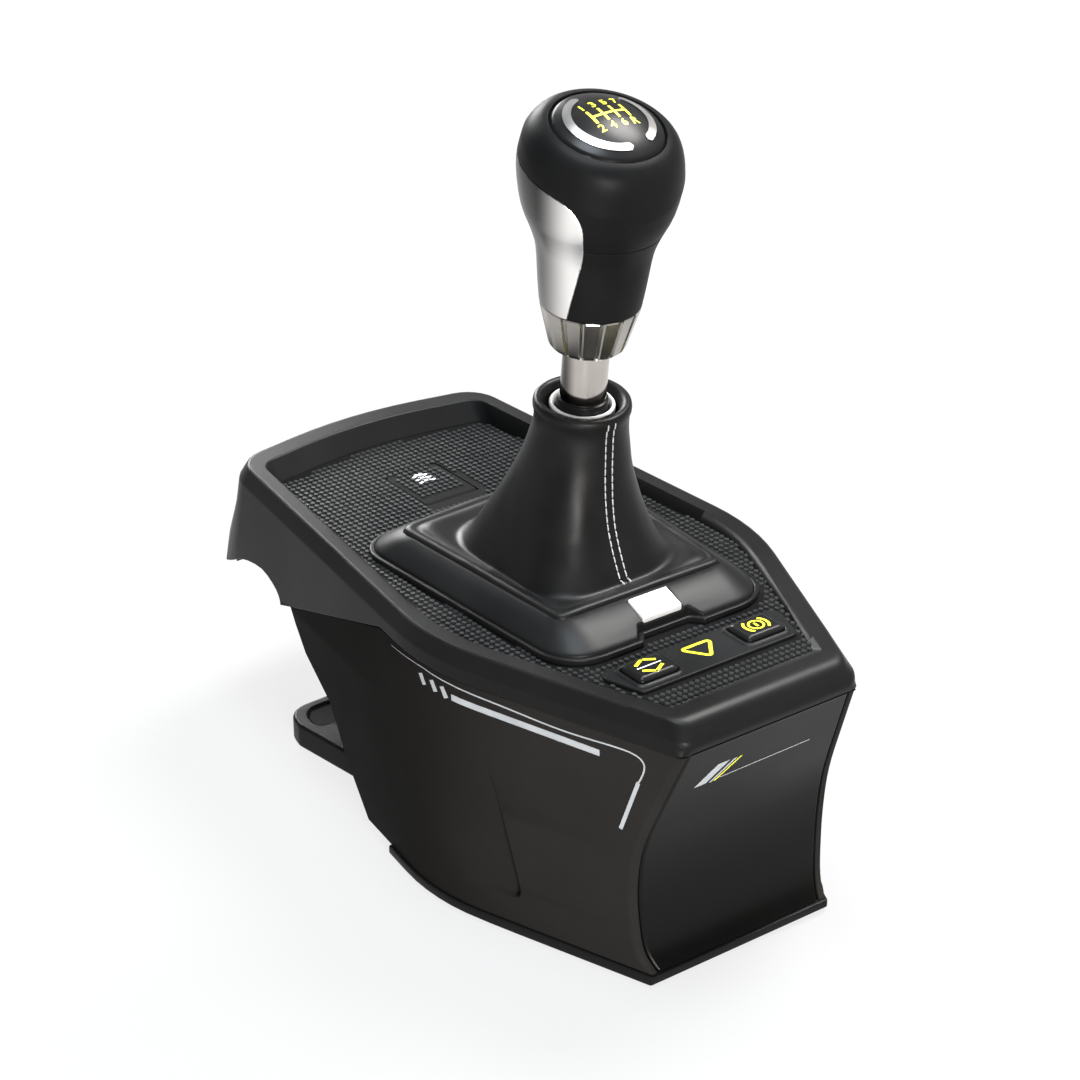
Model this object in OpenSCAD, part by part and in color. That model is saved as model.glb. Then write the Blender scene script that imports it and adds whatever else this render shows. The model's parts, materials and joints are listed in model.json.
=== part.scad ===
// Desk-clamped gear shifter with an H-pattern lever, in millimetres.
// X is to the user's right, Y points away from the user, Z is up, and the base rests on z = 0.

/* [Housing] */
// Height of the rim's flat top
rim_z = 100.4; // [98:0.2:106]
// Distance from the origin to the nose
front_reach = 125.5; // [122:0.5:132]
// Distance from the origin to the back of the hooked lip
rear_reach = 125.5; // [123:0.5:132]
// Half width across the nose
nose_half_w = 34; // [31:0.5:37]
// Half width at the side corners
side_half_w = 68.8; // [66:0.2:74]
// Position of the side corners along Y
side_corner_y = -36.7; // [-42:0.1:-30]
// Half width at the rear corners of the rim
rear_half_w = 53.6; // [51:0.2:57]
// How far the rear of the rim bows out behind its corners
rear_bow = 10; // [7:0.5:12]
// Thickness of the housing walls
wall = 2.6; // [2:0.1:3.2]
// How far the side panels draw in at the base
side_draft = 2.5; // [0.5:0.1:4]
// Height of the rim's outer chamfer
rim_chamfer_h = 5; // [3:0.1:6]
// Width of the rim's outer chamfer
rim_chamfer_w = 3; // [2:0.1:4]
// Height where the top shell meets the side panels at the front
parting_z = 91.2; // [90:0.1:93]
// Lowest point of the hooked lip
lip_z = 58.6; // [55:0.2:61]
// How far the lip stands out behind the rim
lip_flare = 8; // [4:0.5:10]

/* [Base] */
// Thickness of the rubber sheet
pad_t = 1.2; // [0.8:0.1:2]
// Thickness of the base plate
base_t = 3.3; // [3:0.1:5]
// Rear end of the base plate
base_rear_y = -4.5; // [-7:0.5:-3]
// Spacing of the mounting inserts across
insert_dx = 84; // [76:1:88]
// Spacing of the mounting inserts lengthwise
insert_dy = 56; // [50:1:58]
// Middle of the mounting inserts along Y
insert_y = -42; // [-44:1:-38]
// Bore of the mounting inserts
insert_bore_d = 5; // [4:0.1:5.4]

/* [Deck] */
// Height of the deck at the origin
deck_z = 96.35; // [95.5:0.05:97]
// Tilt of the deck, higher at the front
deck_tilt = 1.6; // [0:0.1:2]
// Thickness of the deck panel
deck_t = 3; // [2.6:0.1:3.4]
// Distance of the deck's edge from the side walls
deck_side = 11; // [10:0.5:12]
// Distance of the deck's edge from the nose
deck_front = 16; // [15:0.5:18]
// Distance of the deck's edge from the rear of the rim
deck_rear = 17; // [16:0.5:18]

/* [Boot frame] */
// Distance of the boot frame's front edge behind the nose
frame_back = 49.1; // [48:0.1:50]
// Rear edge of the boot frame along Y
frame_rear_y = 38.8; // [36:0.2:42]
// How far the boot frame's front corners lie inside the housing's widest line
frame_front_in = 26.8; // [25.8:0.1:28.8]
// How far the boot frame's rear corners lie inside the housing's widest line
frame_rear_in = 19.8; // [18.8:0.1:22.8]
// Height of the frame's crest above the deck
frame_h = 9.2; // [8:0.2:10]
// Width of the bead round the frame
trim_w = 1.8; // [1.2:0.1:2.2]
// Height of the bead round the frame
trim_h = 2.2; // [1.6:0.1:3]

/* [Buttons] */
// Distance of each button's middle from the end of its plate
button_in = 9.3; // [8.8:0.1:10.5]
// Distance of the buttons behind the nose
button_back = 34.9; // [34.5:0.1:35.5]
// Width of a button
button_w = 15; // [13:0.5:16]
// Length of a button
button_l = 11.4; // [10:0.2:12]
// Height of a button above its plate
button_proud = 2; // [1.8:0.1:3]
// Travel of a button
button_travel = 1.5; // [1:0.1:1.6]

/* [Flap] */
// Width of the flap
door_w = 21; // [18:0.5:24]
// Length of the flap from its hinge to its free edge
door_l = 27; // [24:0.5:29]
// Hinge of the flap along Y
door_hinge_y = 50; // [47:0.5:51]
// Diameter of the hinge pin
door_pin_d = 1.5; // [1.2:0.1:1.6]

/* [Lever] */
// Height of the lever's pivot
pivot_z = 74; // [72:0.5:76]
// Position of the lever's pivot along Y
pivot_y = -17.4; // [-19:0.1:-16]
// Lean of the lever towards the user at rest
lean = 6; // [4:0.5:7]
// Diameter of the bright shaft
shaft_d = 15; // [13:0.5:16]
// Distance from the pivot to the knob's foot
knob_foot = 123.9; // [120:0.1:128]
// Height of the fluted collar below the knob
collar_h = 15.3; // [13:0.1:17]
// Largest diameter of the knob
knob_d = 51.5; // [48:0.5:54]
// Height of the disc's middle above the collar
knob_h = 59.4; // [57.4:0.2:62]
// Diameter of the disc in the knob
cap_d = 36; // [34:0.5:37]
// Tilt of the disc towards the user, from the lever's axis
cap_tilt = 12; // [8:1:15]

/* [Gate] */
// Distance from the pivot to the middle of the gate plate
gate_depth = 60; // [58:0.5:61]
// Thickness of the gate plate
gate_t = 3; // [2:0.2:3.4]
// Diameter of the pin that runs in the gate
gate_pin_d = 3; // [2.6:0.1:3]
// Width of the slots in the gate
gate_slot_w = 4.8; // [4.8:0.1:5]
// Angle between two lanes of the gate
lane_step = 6; // [6:0.1:6.4]
// Angle of the lever from neutral to a gear
throw_angle = 11; // [9:0.5:12]

/* [Mechanism] */
// Distance of each cheek's inner face from the middle
cheek_x = 30; // [30:0.5:33]
// Thickness of the cheeks
cheek_t = 4; // [3:0.2:5]
// Diameter of the yoke's trunnions
trunnion_d = 10; // [9:0.5:11]
// Diameter of the cross pin in the yoke
select_pin_d = 6; // [5:0.2:6.6]
// Radial clearance of running fits
run_gap = 0.05; // [0.03:0.01:0.09]

/* [Clamp] */
// Half width of the jaw at its tip
jaw_half_w = 53.5; // [48:0.5:53.5]
// Tip of the jaw along Y
jaw_tip_y = 83; // [80:0.5:86]
// Top of the jaw when fully open
jaw_top_z = 10.5; // [10:0.1:11]
// Thickness of the jaw
jaw_t = 9.5; // [8.5:0.1:9.8]
// Travel of the jaw
jaw_travel = 28; // [24:1:29]
// Diameter of the clamp screw
screw_d = 8; // [6:0.5:9]
// Position of the clamp screw along Y
screw_y = 58; // [57.5:0.5:59]
// Diameter of the guide rods
rod_d = 8; // [6:0.5:9]
// Distance of each guide rod from the middle
rod_x = 34; // [30:1:38]

/* [Hidden] */
$fn = 64;

// Clearance between loose neighbours
gap = 0.3;
// Overshoot of a cut past the face that it opens
over = 1;
// Half of a width that is larger than the whole part
reach = front_reach + rear_reach;

black = "#141416";
soft_black = "#1d1d1f";
bright = "#d9dadc";
steel = "#9a9da1";
brass = "#b8964a";
board_green = "#1f5a3a";

base_top = pad_t + base_t;
rim_low_z = rim_z - rim_chamfer_h;

// Corners of the housing seen from above, counter-clockwise from the nose's left end
bow_r = 150;
bow_slope = atan2(rear_bow, rear_half_w);
plan_rear_y = rear_reach - lip_flare + bow_r * (1 / cos(bow_slope) - 1);
rear_corner_y = plan_rear_y - rear_bow;
plan_corners = [[-nose_half_w, -front_reach], [nose_half_w, -front_reach],
  [side_half_w, side_corner_y], [rear_half_w, rear_corner_y], [0, plan_rear_y],
  [-rear_half_w, rear_corner_y], [-side_half_w, side_corner_y]];
plan_radii = [5, 5, 80, 16, bow_r, 16, 80];
arc_steps = 6;

function unit(v) = v / norm(v);
function left_of(v) = [-v.y, v.x];
function cross2(a, b) = a.x * b.y - a.y * b.x;
function meet(p, d, q, e) = p + d * cross2(q - p, e) / cross2(d, e);
function edge(c, i) = unit(c[(i + 1) % len(c)] - c[i % len(c)]);

// Moves each edge of a counter-clockwise outline inwards by its own distance
function inset(c, dist) = [for (i = [0 : len(c) - 1])
  let (j = (i + len(c) - 1) % len(c))
  meet(c[i] + left_of(edge(c, j)) * dist[j], edge(c, j),
       c[i] + left_of(edge(c, i)) * dist[i], edge(c, i))];

// Points of the arc that rounds corner p between a and b
function fillet(a, p, b, r) =
  let (u = unit(a - p), v = unit(b - p), half = acos(u * v) / 2)
  let (c = p + unit(u + v) * r / sin(half), t = r / tan(half))
  let (s = p + u * t - c, e = p + v * t - c)
  let (turn = atan2(cross2(s, e), s * e))
  [for (k = [0 : arc_steps])
    let (g = turn * k / arc_steps)
    c + [s.x * cos(g) - s.y * sin(g), s.x * sin(g) + s.y * cos(g)]];

function rounded(c, radii) = [for (i = [0 : len(c) - 1])
  each fillet(c[(i + len(c) - 1) % len(c)], c[i], c[(i + 1) % len(c)], radii[i])];

// Housing outline with its sides, front and rear moved inwards
function plan(side, front, rear) = rounded(
  inset(plan_corners, [front, side, side, rear, rear, side, side]),
  [for (r = plan_radii) max(r - side, 1)]);

function at_height(outline, z) = [for (p = outline) [p.x, p.y, z]];
function deck_height(y) = deck_z - y * tan(deck_tilt);
function at_deck(outline, h) = [for (p = outline) [p.x, p.y, deck_height(p.y) + h]];

// Smooth curve through control points
function smooth_at(a, b, c, d, t) = 0.5 * (2 * b + (c - a) * t
  + (2 * a - 5 * b + 4 * c - d) * t * t + (3 * b - a - 3 * c + d) * t * t * t);
function smooth(c, n) = [for (i = [0 : len(c) - 2]) for (k = [0 : n - 1])
    smooth_at(c[max(i - 1, 0)], c[i], c[i + 1], c[min(i + 2, len(c) - 1)], k / n),
  c[len(c) - 1]];

function backwards(c) = [for (i = [len(c) - 1 : -1 : 0]) c[i]];

// Solid through a stack of outlines with equal numbers of points
module loft(rings) {
  n = len(rings[0]);
  m = len(rings);
  polyhedron(
    points = [for (r = rings) each r],
    faces = concat(
      [[for (i = [0 : n - 1]) i]],
      [for (k = [0 : m - 2]) for (i = [0 : n - 1])
        [k * n + i, (k + 1) * n + i, (k + 1) * n + (i + 1) % n]],
      [for (k = [0 : m - 2]) for (i = [0 : n - 1])
        [k * n + i, (k + 1) * n + (i + 1) % n, k * n + (i + 1) % n]],
      [[for (i = [n - 1 : -1 : 0]) (m - 1) * n + i]]));
}

// Closed ring through a stack of outlines that comes back to the first one
module ring_loft(rings) {
  n = len(rings[0]);
  m = len(rings);
  polyhedron(
    points = [for (r = rings) each r],
    faces = [for (k = [0 : m - 1]) for (i = [0 : n - 1]) for (half = [0, 1])
      half == 0
        ? [k * n + i, ((k + 1) % m) * n + i, ((k + 1) % m) * n + (i + 1) % n]
        : [k * n + i, ((k + 1) % m) * n + (i + 1) % n, k * n + (i + 1) % n]]);
}

// Side outline in Y and Z, extruded across X
module across(x0, x1) {
  translate([x0, 0, 0]) rotate([90, 0, 90]) linear_extrude(x1 - x0) children();
}

module plate(x, y, z, at) {
  translate([at.x - x / 2, at.y - y / 2, at.z]) cube([x, y, z]);
}

module on_deck() {
  translate([0, 0, deck_z]) rotate([-deck_tilt, 0, 0]) children();
}

module at_pivot() {
  translate([0, pivot_y, pivot_z]) rotate([lean, 0, 0]) children();
}

module both_sides() {
  children();
  mirror([1, 0, 0]) children();
}

// Side outline of the concave front, from the nose down to the toe
nose_low = [-front_reach + 1.3, parting_z - 0.7];
front_curve = smooth([nose_low, [-front_reach + 3, 86.4], [-front_reach + 9, 71.1],
  [-front_reach + 16, 51.5], [-front_reach + 18.2, 36], [-front_reach + 17.8, 22],
  [-front_reach + 16, 11], [-front_reach + 11.5, base_top]], 4);
front_curve_in = [for (p = front_curve) [p.x + wall, p.y]];

// Side outline of the rear edge of the side panels, from the base up to the top shell
hook_y = 66;
hook_z = 64;
side_rear_curve = [[12, base_top], [27, 21.5], [37, 38], [55, 48.8], [62, 57.4], [hook_y, hook_z]];
parting_bend_y = -7;
parting = [[-front_reach - over, parting_z], [parting_bend_y, parting_z], [hook_y, hook_z]];

// Underside of the overhang, from the side panels back to the lip
arch_top_z = hook_z + 6.2;
lip_front_y = rear_reach - 14.5;
arch = smooth([[hook_y, hook_z], [70, arch_top_z - 2.4], [82, arch_top_z], [99, arch_top_z - 4],
  [lip_front_y, lip_z]], 3);

top_side_outline = concat(
  [[-front_reach + 6, rim_z + over], [-front_reach - 0.1, 94.2], nose_low], [parting[1]],
  arch, [[reach, lip_z], [reach, rim_z + over]]);

cavity_top_z = rim_low_z - 6.4;
arch_in = [for (p = arch) [p.x, p.y + wall]];
top_cavity_outline = concat(
  [[-front_reach + deck_front - 9, lip_z - 20], [hook_y, lip_z - 20]], arch_in,
  [[rear_reach - wall - 1.5, lip_z + wall], [rear_reach - wall - 1.5, cavity_top_z],
   [-front_reach + deck_front - 9, cavity_top_z]]);

// Outer form of the top shell, and the same form drawn in for its inner face
lip_side = -lip_flare * 0.375;
module top_form(d) {
  loft([at_height(plan(lip_side + d, d, -lip_flare + d), lip_z - over),
    at_height(plan(d, d, d), rim_low_z),
    at_height(plan(rim_chamfer_w + d, rim_chamfer_w + d, rim_chamfer_w + d), rim_z)]);
}

rim_flat_w = 5.5;
ledge = 3.5;
module deck_recess() {
  loft([at_deck(plan(deck_side, deck_front, deck_rear), -deck_t),
    at_deck(plan(deck_side, deck_front, deck_rear), 0),
    at_height(plan(rim_chamfer_w + rim_flat_w, deck_front - 4, deck_rear - 6), rim_z + 0.2)]);
}

module top_shell() {
  color(black) difference() {
    intersection() {
      top_form(0);
      across(-reach, reach) polygon(top_side_outline);
    }
    intersection() {
      top_form(wall);
      across(-reach, reach) polygon(top_cavity_outline);
    }
    deck_recess();
    translate([0, 0, cavity_top_z - over]) linear_extrude(rim_chamfer_h + 10)
      polygon(plan(deck_side + ledge, deck_front + ledge, deck_rear + ledge));
  }
}

// Side panels, drawn in towards the base
module side_form(d) {
  loft([at_height(plan(side_draft + d, side_draft + d - 20, 0), base_top),
    at_height(plan(d, d - 20, 0), parting_z)]);
}

module side_panel() {
  difference() {
    intersection() {
      side_form(0);
      across(0, reach) polygon(concat([for (p = backwards(front_curve)) [p.x, min(p.y, nose_low.y - gap)]],
        [[parting_bend_y, parting_z - gap], [hook_y, hook_z - gap]],
        backwards([for (i = [0 : len(side_rear_curve) - 2]) side_rear_curve[i]])));
    }
    side_form(wall);
  }
}

module right_side_panel() {
  color(black) side_panel();
}

module left_side_panel() {
  color(black) mirror([1, 0, 0]) side_panel();
}

module front_panel() {
  color(black) intersection() {
    side_form(wall + gap / 3);
    across(-reach, reach) polygon(concat(
      [for (p = front_curve) [p.x, min(p.y, nose_low.y - gap)]],
      backwards([for (p = front_curve_in) [p.x, min(p.y, nose_low.y - gap)]])));
  }
}

// Inner rear wall, with a ceiling over the clamp bay
rear_wall_y = 30;
tongue_rear_y = 9;
rear_bend_z = 34;
ceiling_z = hook_z;
usb_in = 20.8;
usb_x = side_half_w - usb_in;
usb_z = 50;
usb_w = 9.4;
usb_h = 3.6;
rod_y = 44;
module rear_panel() {
  color(soft_black) difference() {
    intersection() {
      side_form(wall + gap / 3);
      across(-reach, reach) polygon([[tongue_rear_y - wall, base_top], [tongue_rear_y, base_top],
        [rear_wall_y, rear_bend_z], [rear_wall_y, ceiling_z - wall], [hook_y - gap, ceiling_z - wall],
        [hook_y - gap, ceiling_z],
        [rear_wall_y - wall, ceiling_z], [rear_wall_y - wall, rear_bend_z + 0.8]]);
    }
    translate([0, screw_y, 0]) cylinder(d = screw_d + 3, h = rim_z);
    both_sides() translate([rod_x, rod_y, 0]) cylinder(d = rod_d + 2, h = rim_z);
    plate(usb_w, 4 * wall, usb_h, [usb_x, rear_wall_y - wall / 2, usb_z - usb_h / 2]);
  }
}

lip_pad_t = 1.4;
module desk_pad() {
  edge_in = 2;
  color(soft_black) translate([0, 0, lip_z - lip_pad_t]) linear_extrude(lip_pad_t) intersection() {
    polygon(plan(lip_side + edge_in, 0, edge_in - lip_flare));
    translate([-reach, lip_front_y + edge_in]) square([2 * reach, reach]);
  }
}

// Base plate with insert bosses and posts for the main board
boss_d = 12;
boss_top = base_top + 9;
insert_d = 8;
board_l = 40;
board_w = 44;
board_back = 43.5;
board_y = -front_reach + board_back;
board_z = base_top + 3.5;
post_d = 6;
module insert_places() {
  for (x = [-1, 1]) for (y = [-1, 1])
    translate([x * insert_dx / 2, insert_y + y * insert_dy / 2, 0]) children();
}

module board_corners(d) {
  for (x = [-1, 1]) for (y = [-1, 1])
    translate([x * (board_w / 2 - d), board_y + y * (board_l / 2 - d), 0]) children();
}

foot_t = 3;
foot_w = 12;
frame_front_y0 = pivot_y - 26.6;
frame_rear_y0 = pivot_y + 22;
case_screw_d = 4;
module case_screw_places() {
  both_sides() for (y = [frame_front_y0 + 6, frame_rear_y0 - 5])
    translate([cheek_x - foot_w / 2, y, 0]) children();
}

base_edge = side_draft - 0.8;
base_front_y = -front_reach + 10.8;
module base_span(rear_y) {
  translate([-reach, base_front_y]) square([2 * reach, rear_y - base_front_y]);
}

module base_plate() {
  color(black) difference() {
    union() {
      translate([0, 0, pad_t]) linear_extrude(base_t) intersection() {
        polygon(plan(base_edge, 0, 0));
        base_span(base_rear_y);
      }
      translate([0, 0, pad_t]) linear_extrude(base_t) intersection() {
        polygon(plan(side_draft + wall + 0.5, 0, 0));
        base_span(tongue_rear_y);
      }
      insert_places() translate([0, 0, base_top - over]) cylinder(d = boss_d, h = boss_top - base_top + over);
      board_corners(4) translate([0, 0, base_top - over]) cylinder(d = post_d, h = board_z - base_top + over);
    }
    insert_places() translate([0, 0, -over]) cylinder(d = insert_d, h = boss_top + 2 * over);
    case_screw_places() translate([0, 0, pad_t]) cylinder(d = case_screw_d, h = base_top);
  }
}

module base_pad() {
  color(soft_black) linear_extrude(pad_t) difference() {
    intersection() {
      polygon(plan(base_edge + 3, 0, 0));
      translate([-reach, -front_reach + 14]) square([2 * reach, base_rear_y + front_reach - 17]);
    }
    insert_places() circle(d = boss_d);
  }
}

module threaded_inserts() {
  color(brass) insert_places() difference() {
    translate([0, 0, pad_t]) cylinder(d = insert_d, h = boss_top - pad_t);
    translate([0, 0, -over]) cylinder(d = insert_bore_d, h = boss_top + 2 * over);
  }
}

// Outlines on the deck
frame_front_y = -front_reach + frame_back;
frame_front_half = side_half_w - frame_front_in;
frame_rear_half = side_half_w - frame_rear_in;
frame_corners = [[-frame_front_half, frame_front_y], [frame_front_half, frame_front_y],
  [frame_rear_half, frame_rear_y - 3], [0, frame_rear_y], [-frame_rear_half, frame_rear_y - 3]];
tab_half_w = 7.8;
tab_front_y = frame_front_y + 6.2;
tab_rear_y = frame_front_y + 14.6;
// The bead steps back round the tab
notch_half_w = tab_half_w + 1.4;
trim_corners = concat([[-frame_front_half, frame_front_y], [-notch_half_w - 3, frame_front_y],
  [-notch_half_w, tab_front_y - trim_w - 0.4], [notch_half_w, tab_front_y - trim_w - 0.4],
  [notch_half_w + 3, frame_front_y], [frame_front_half, frame_front_y]],
  [for (i = [2 : 4]) frame_corners[i]]);
frame_front_r = 16;
frame_rear_r = 14;
function less(radii, d) = [for (r = radii) max(r - d, 1)];
function trim_outline(d) = rounded(inset(trim_corners, [for (c = trim_corners) d]),
  less([frame_front_r, 1.2, 1.2, 1.2, 1.2, frame_front_r, frame_rear_r, 120, frame_rear_r], d));
function frame_outline(side, front, rear, radii) = rounded(
  inset(frame_corners, [front, side, rear, rear, side]), radii);
boot_side = 10.6;
boot_front = 16.6;
boot_rear = 13.2;
function boot_outline(d) = frame_outline(boot_side + d, boot_front + d, boot_rear + d, [7, 7, 10, 120, 10]);

// Share of the way from the frame's outer outline to the boot
outer_radii = less([frame_front_r, frame_front_r, frame_rear_r, 120, frame_rear_r], trim_w);
function frame_ring(t, h) = let (a = frame_outline(trim_w, trim_w, trim_w, outer_radii), b = boot_outline(0))
  [for (i = [0 : len(a) - 1]) [a[i].x + (b[i].x - a[i].x) * t, a[i].y + (b[i].y - a[i].y) * t, h]];

plate_back = 25.5;
plate_l = 17.6;
plate_front_in = 3.5;
plate_rear_in = 5.6;
plate_front_y = -front_reach + plate_back;
plate_rear_y = plate_front_y + plate_l;
plate_front_half = nose_half_w - plate_front_in;
plate_rear_half = frame_front_half - plate_rear_in;
plate_rise = 1.2;
button_x = plate_front_half - button_in;
button_y = -front_reach + button_back;
plate_outline = rounded([[-plate_front_half, plate_front_y], [plate_front_half, plate_front_y],
  [plate_rear_half, plate_rear_y], [-plate_rear_half, plate_rear_y]], [2.5, 2.5, 3.5, 3.5]);
well_gap = 0.5;
door_t = deck_t;
door_gap = 0.4;

module button_places() {
  for (x = [-1, 1]) translate([x * button_x, button_y, 0]) children();
}

// Rounded rectangle
function rounded_box(w, l, r) = rounded([[-w / 2, -l / 2], [w / 2, -l / 2], [w / 2, l / 2], [-w / 2, l / 2]],
  [r, r, r, r]);

module button_well() {
  linear_extrude(40, center = true)
    polygon(rounded_box(button_w + 2 * well_gap, button_l + 2 * well_gap, 2));
}

door_free_y = door_hinge_y + door_l;
door_outline = rounded([[-door_w / 2, door_hinge_y], [door_w / 2, door_hinge_y],
  [door_w / 2, door_free_y], [-door_w / 2, door_free_y]], [0.5, 0.5, 4, 4]);
door_hole = rounded([[-door_w / 2 - door_gap, door_hinge_y - door_t / 2 - door_gap],
  [door_w / 2 + door_gap, door_hinge_y - door_t / 2 - door_gap],
  [door_w / 2 + door_gap, door_free_y + door_gap], [-door_w / 2 - door_gap, door_free_y + door_gap]],
  [0.5, 0.5, 4, 4]);
door_pin_l = door_w + 8;

module door_pin_bore(d) {
  translate([-reach / 2, door_hinge_y, -deck_t / 2]) rotate([0, 90, 0]) cylinder(d = d, h = reach);
}

module deck_panel() {
  edge_gap = 0.15;
  color(soft_black) difference() {
    loft([at_deck(plan(deck_side + edge_gap, deck_front + edge_gap, deck_rear + edge_gap), -deck_t),
      at_deck(plan(deck_side + edge_gap, deck_front + edge_gap, deck_rear + edge_gap), 0)]);
    on_deck() {
      linear_extrude(40, center = true) polygon(boot_outline(0));
      linear_extrude(40, center = true) polygon(door_hole);
      button_places() button_well();
      translate([-door_pin_l / 2, door_hinge_y, -deck_t / 2]) rotate([0, 90, 0])
        cylinder(d = door_pin_d, h = door_pin_l);
    }
  }
}

well_wall = 1.6;
well_depth = 17.5;
module screw_well() {
  well_y0 = door_hinge_y + 0.4;
  well_y1 = door_free_y + 1.6;
  well_half = door_w / 2 + 1.6;
  color(soft_black) on_deck() difference() {
    translate([-well_half, well_y0, -deck_t - well_depth])
      cube([2 * well_half, well_y1 - well_y0, well_depth]);
    translate([-well_half + well_wall, well_y0 + well_wall, -deck_t - well_depth + well_wall])
      cube([2 * (well_half - well_wall), well_y1 - well_y0 - 2 * well_wall, well_depth]);
    translate([0, screw_y, -60]) cylinder(d = screw_head_d + 2, h = 60);
  }
}

module access_door() {
  color(soft_black) on_deck() difference() {
    union() {
      translate([0, 0, -door_t]) linear_extrude(door_t) polygon(door_outline);
      translate([-door_w / 2, door_hinge_y, -door_t / 2]) rotate([0, 90, 0]) cylinder(d = door_t, h = door_w);
    }
    door_pin_bore(door_pin_d + 2 * run_gap);
  }
}

module door_hinge_pin() {
  color(steel) on_deck() translate([-door_pin_l / 2, door_hinge_y, -deck_t / 2]) rotate([0, 90, 0])
    cylinder(d = door_pin_d, h = door_pin_l);
}

module boot_frame() {
  color(soft_black) on_deck() difference() {
    intersection() {
      ring_loft([frame_ring(1, 0), frame_ring(0, 0), frame_ring(0, trim_h + 0.4),
        frame_ring(0.1, trim_h + 1.4), frame_ring(0.45, 0.72 * frame_h), frame_ring(0.8, 0.95 * frame_h),
        frame_ring(1, frame_h)]);
      linear_extrude(2 * frame_h) polygon(trim_outline(trim_w));
    }
    tab_cut();
  }
}

module frame_trim() {
  color(black) on_deck() linear_extrude(trim_h) difference() {
    polygon(trim_outline(0));
    polygon(trim_outline(trim_w));
  }
}

// Bright tab, let into the front slope of the frame
tab_t = 2.4;
tab_outline = [[tab_front_y, frame_h - 2.8 - tab_t], [tab_rear_y, frame_h - tab_t],
  [tab_rear_y, frame_h + 0.2], [tab_front_y, frame_h - 2.8]];
module tab_cut() {
  across(-tab_half_w, tab_half_w) polygon([tab_outline[0], tab_outline[1],
    [tab_rear_y, 2 * frame_h], [tab_front_y - 4, 2 * frame_h], [tab_front_y - 4, frame_h - 2.8 - tab_t]]);
}

module frame_tab() {
  color(bright) on_deck() across(-tab_half_w, tab_half_w) polygon(tab_outline);
}

module button_plate() {
  color(black) on_deck() difference() {
    linear_extrude(plate_rise) polygon(plate_outline);
    button_places() button_well();
  }
}

// Button with a chamfered top, seen at rest
button_low = deck_t + 1;
switch_gap = 0.3;
module button(x) {
  top = plate_rise + button_proud;
  color(black) on_deck() translate([x, button_y, 0]) loft([
    at_height(rounded_box(button_w, button_l, 1.5), -button_low),
    at_height(rounded_box(button_w, button_l, 1.5), top - 1),
    at_height(rounded_box(button_w - 2.4, button_l - 2.4, 1), top)]);
}

module range_button() {
  button(-button_x);
}

module brake_button() {
  button(button_x);
}

board_t = 1.6;
switch_h = 4;
module button_board() {
  board_top = -button_low - button_travel - switch_gap - switch_h;
  color(board_green) on_deck() union() {
    plate(2 * button_x + 13, 14, board_t, [0, button_y, board_top - board_t]);
    button_places() plate(6, 6, switch_h, [0, 0, board_top]);
    for (x = [-8.5, 8.5]) translate([x, button_y, board_top - over])
      cylinder(d = 4, h = -deck_t - board_top + over);
  }
}

module main_board() {
  color(board_green) union() {
    plate(board_w, board_l, board_t, [0, board_y, board_z]);
    plate(10, 10, 1.4, [-6, board_y + 4, board_z + board_t]);
    plate(6, 5, 1.2, [8, board_y - 6, board_z + board_t]);
    plate(12, 5, 6, [6, board_y + board_l / 2 - 4, board_z + board_t]);
    plate(12, 5, 6, [-10, board_y - board_l / 2 + 4, board_z + board_t]);
  }
}

module usb_socket() {
  fit = 0.1;
  color(steel) difference() {
    union() {
      plate(usb_w - 2 * fit, 8, usb_h - 2 * fit, [usb_x, rear_wall_y - 4, usb_z - usb_h / 2 + fit]);
      plate(usb_w + 6, 1.6, usb_h + 6, [usb_x, rear_wall_y - wall - 0.8, usb_z - usb_h / 2 - 3]);
    }
    plate(usb_w - 2, 10, usb_h - 1.6, [usb_x, rear_wall_y, usb_z - usb_h / 2 + 0.8]);
  }
}

// Mechanism frame: two cheeks on feet, joined by a cross plate at the front
cheek_rise = 11;
cheek_top = pivot_z + cheek_rise;
bush_wall = 2;
bush_d = trunnion_d + 2 * bush_wall;
plunger_d = 6;
cross_y = frame_front_y0;
cross_t = 4;
cross_drop = 18;
cross_z0 = pivot_z - cross_drop;
module mech_frame() {
  color(steel) difference() {
    union() {
      both_sides() {
        translate([cheek_x, frame_front_y0, base_top])
          cube([cheek_t, frame_rear_y0 - frame_front_y0, cheek_top - base_top]);
        translate([cheek_x - foot_w, frame_front_y0, base_top])
          cube([foot_w + over, frame_rear_y0 - frame_front_y0, foot_t]);
      }
      translate([-cheek_x - over, cross_y, cross_z0])
        cube([2 * (cheek_x + over), cross_t, cheek_top - cross_z0]);
    }
    translate([-reach, pivot_y, pivot_z]) rotate([0, 90, 0]) cylinder(d = bush_d, h = 2 * reach);
    case_screw_places() translate([0, 0, base_top - over]) cylinder(d = case_screw_d, h = foot_t + 2 * over);
    translate([0, cross_y - over, pivot_z]) rotate([-90, 0, 0])
      cylinder(d = plunger_d, h = cross_t + 2 * over);
  }
}

module case_screws() {
  color(steel) case_screw_places() union() {
    translate([0, 0, pad_t]) cylinder(d = case_screw_d, h = base_t + foot_t);
    translate([0, 0, base_top + foot_t]) cylinder(d = 2 * case_screw_d, h = 3);
  }
}

bush_flange_t = 1.5;
module pivot_bushes() {
  color(brass) both_sides() translate([0, pivot_y, pivot_z]) rotate([0, 90, 0]) difference() {
    union() {
      translate([0, 0, cheek_x]) cylinder(d = bush_d, h = cheek_t);
      translate([0, 0, cheek_x + cheek_t]) cylinder(d = bush_d + 4, h = bush_flange_t);
    }
    cylinder(d = trunnion_d + 2 * run_gap, h = reach);
  }
}

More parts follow.
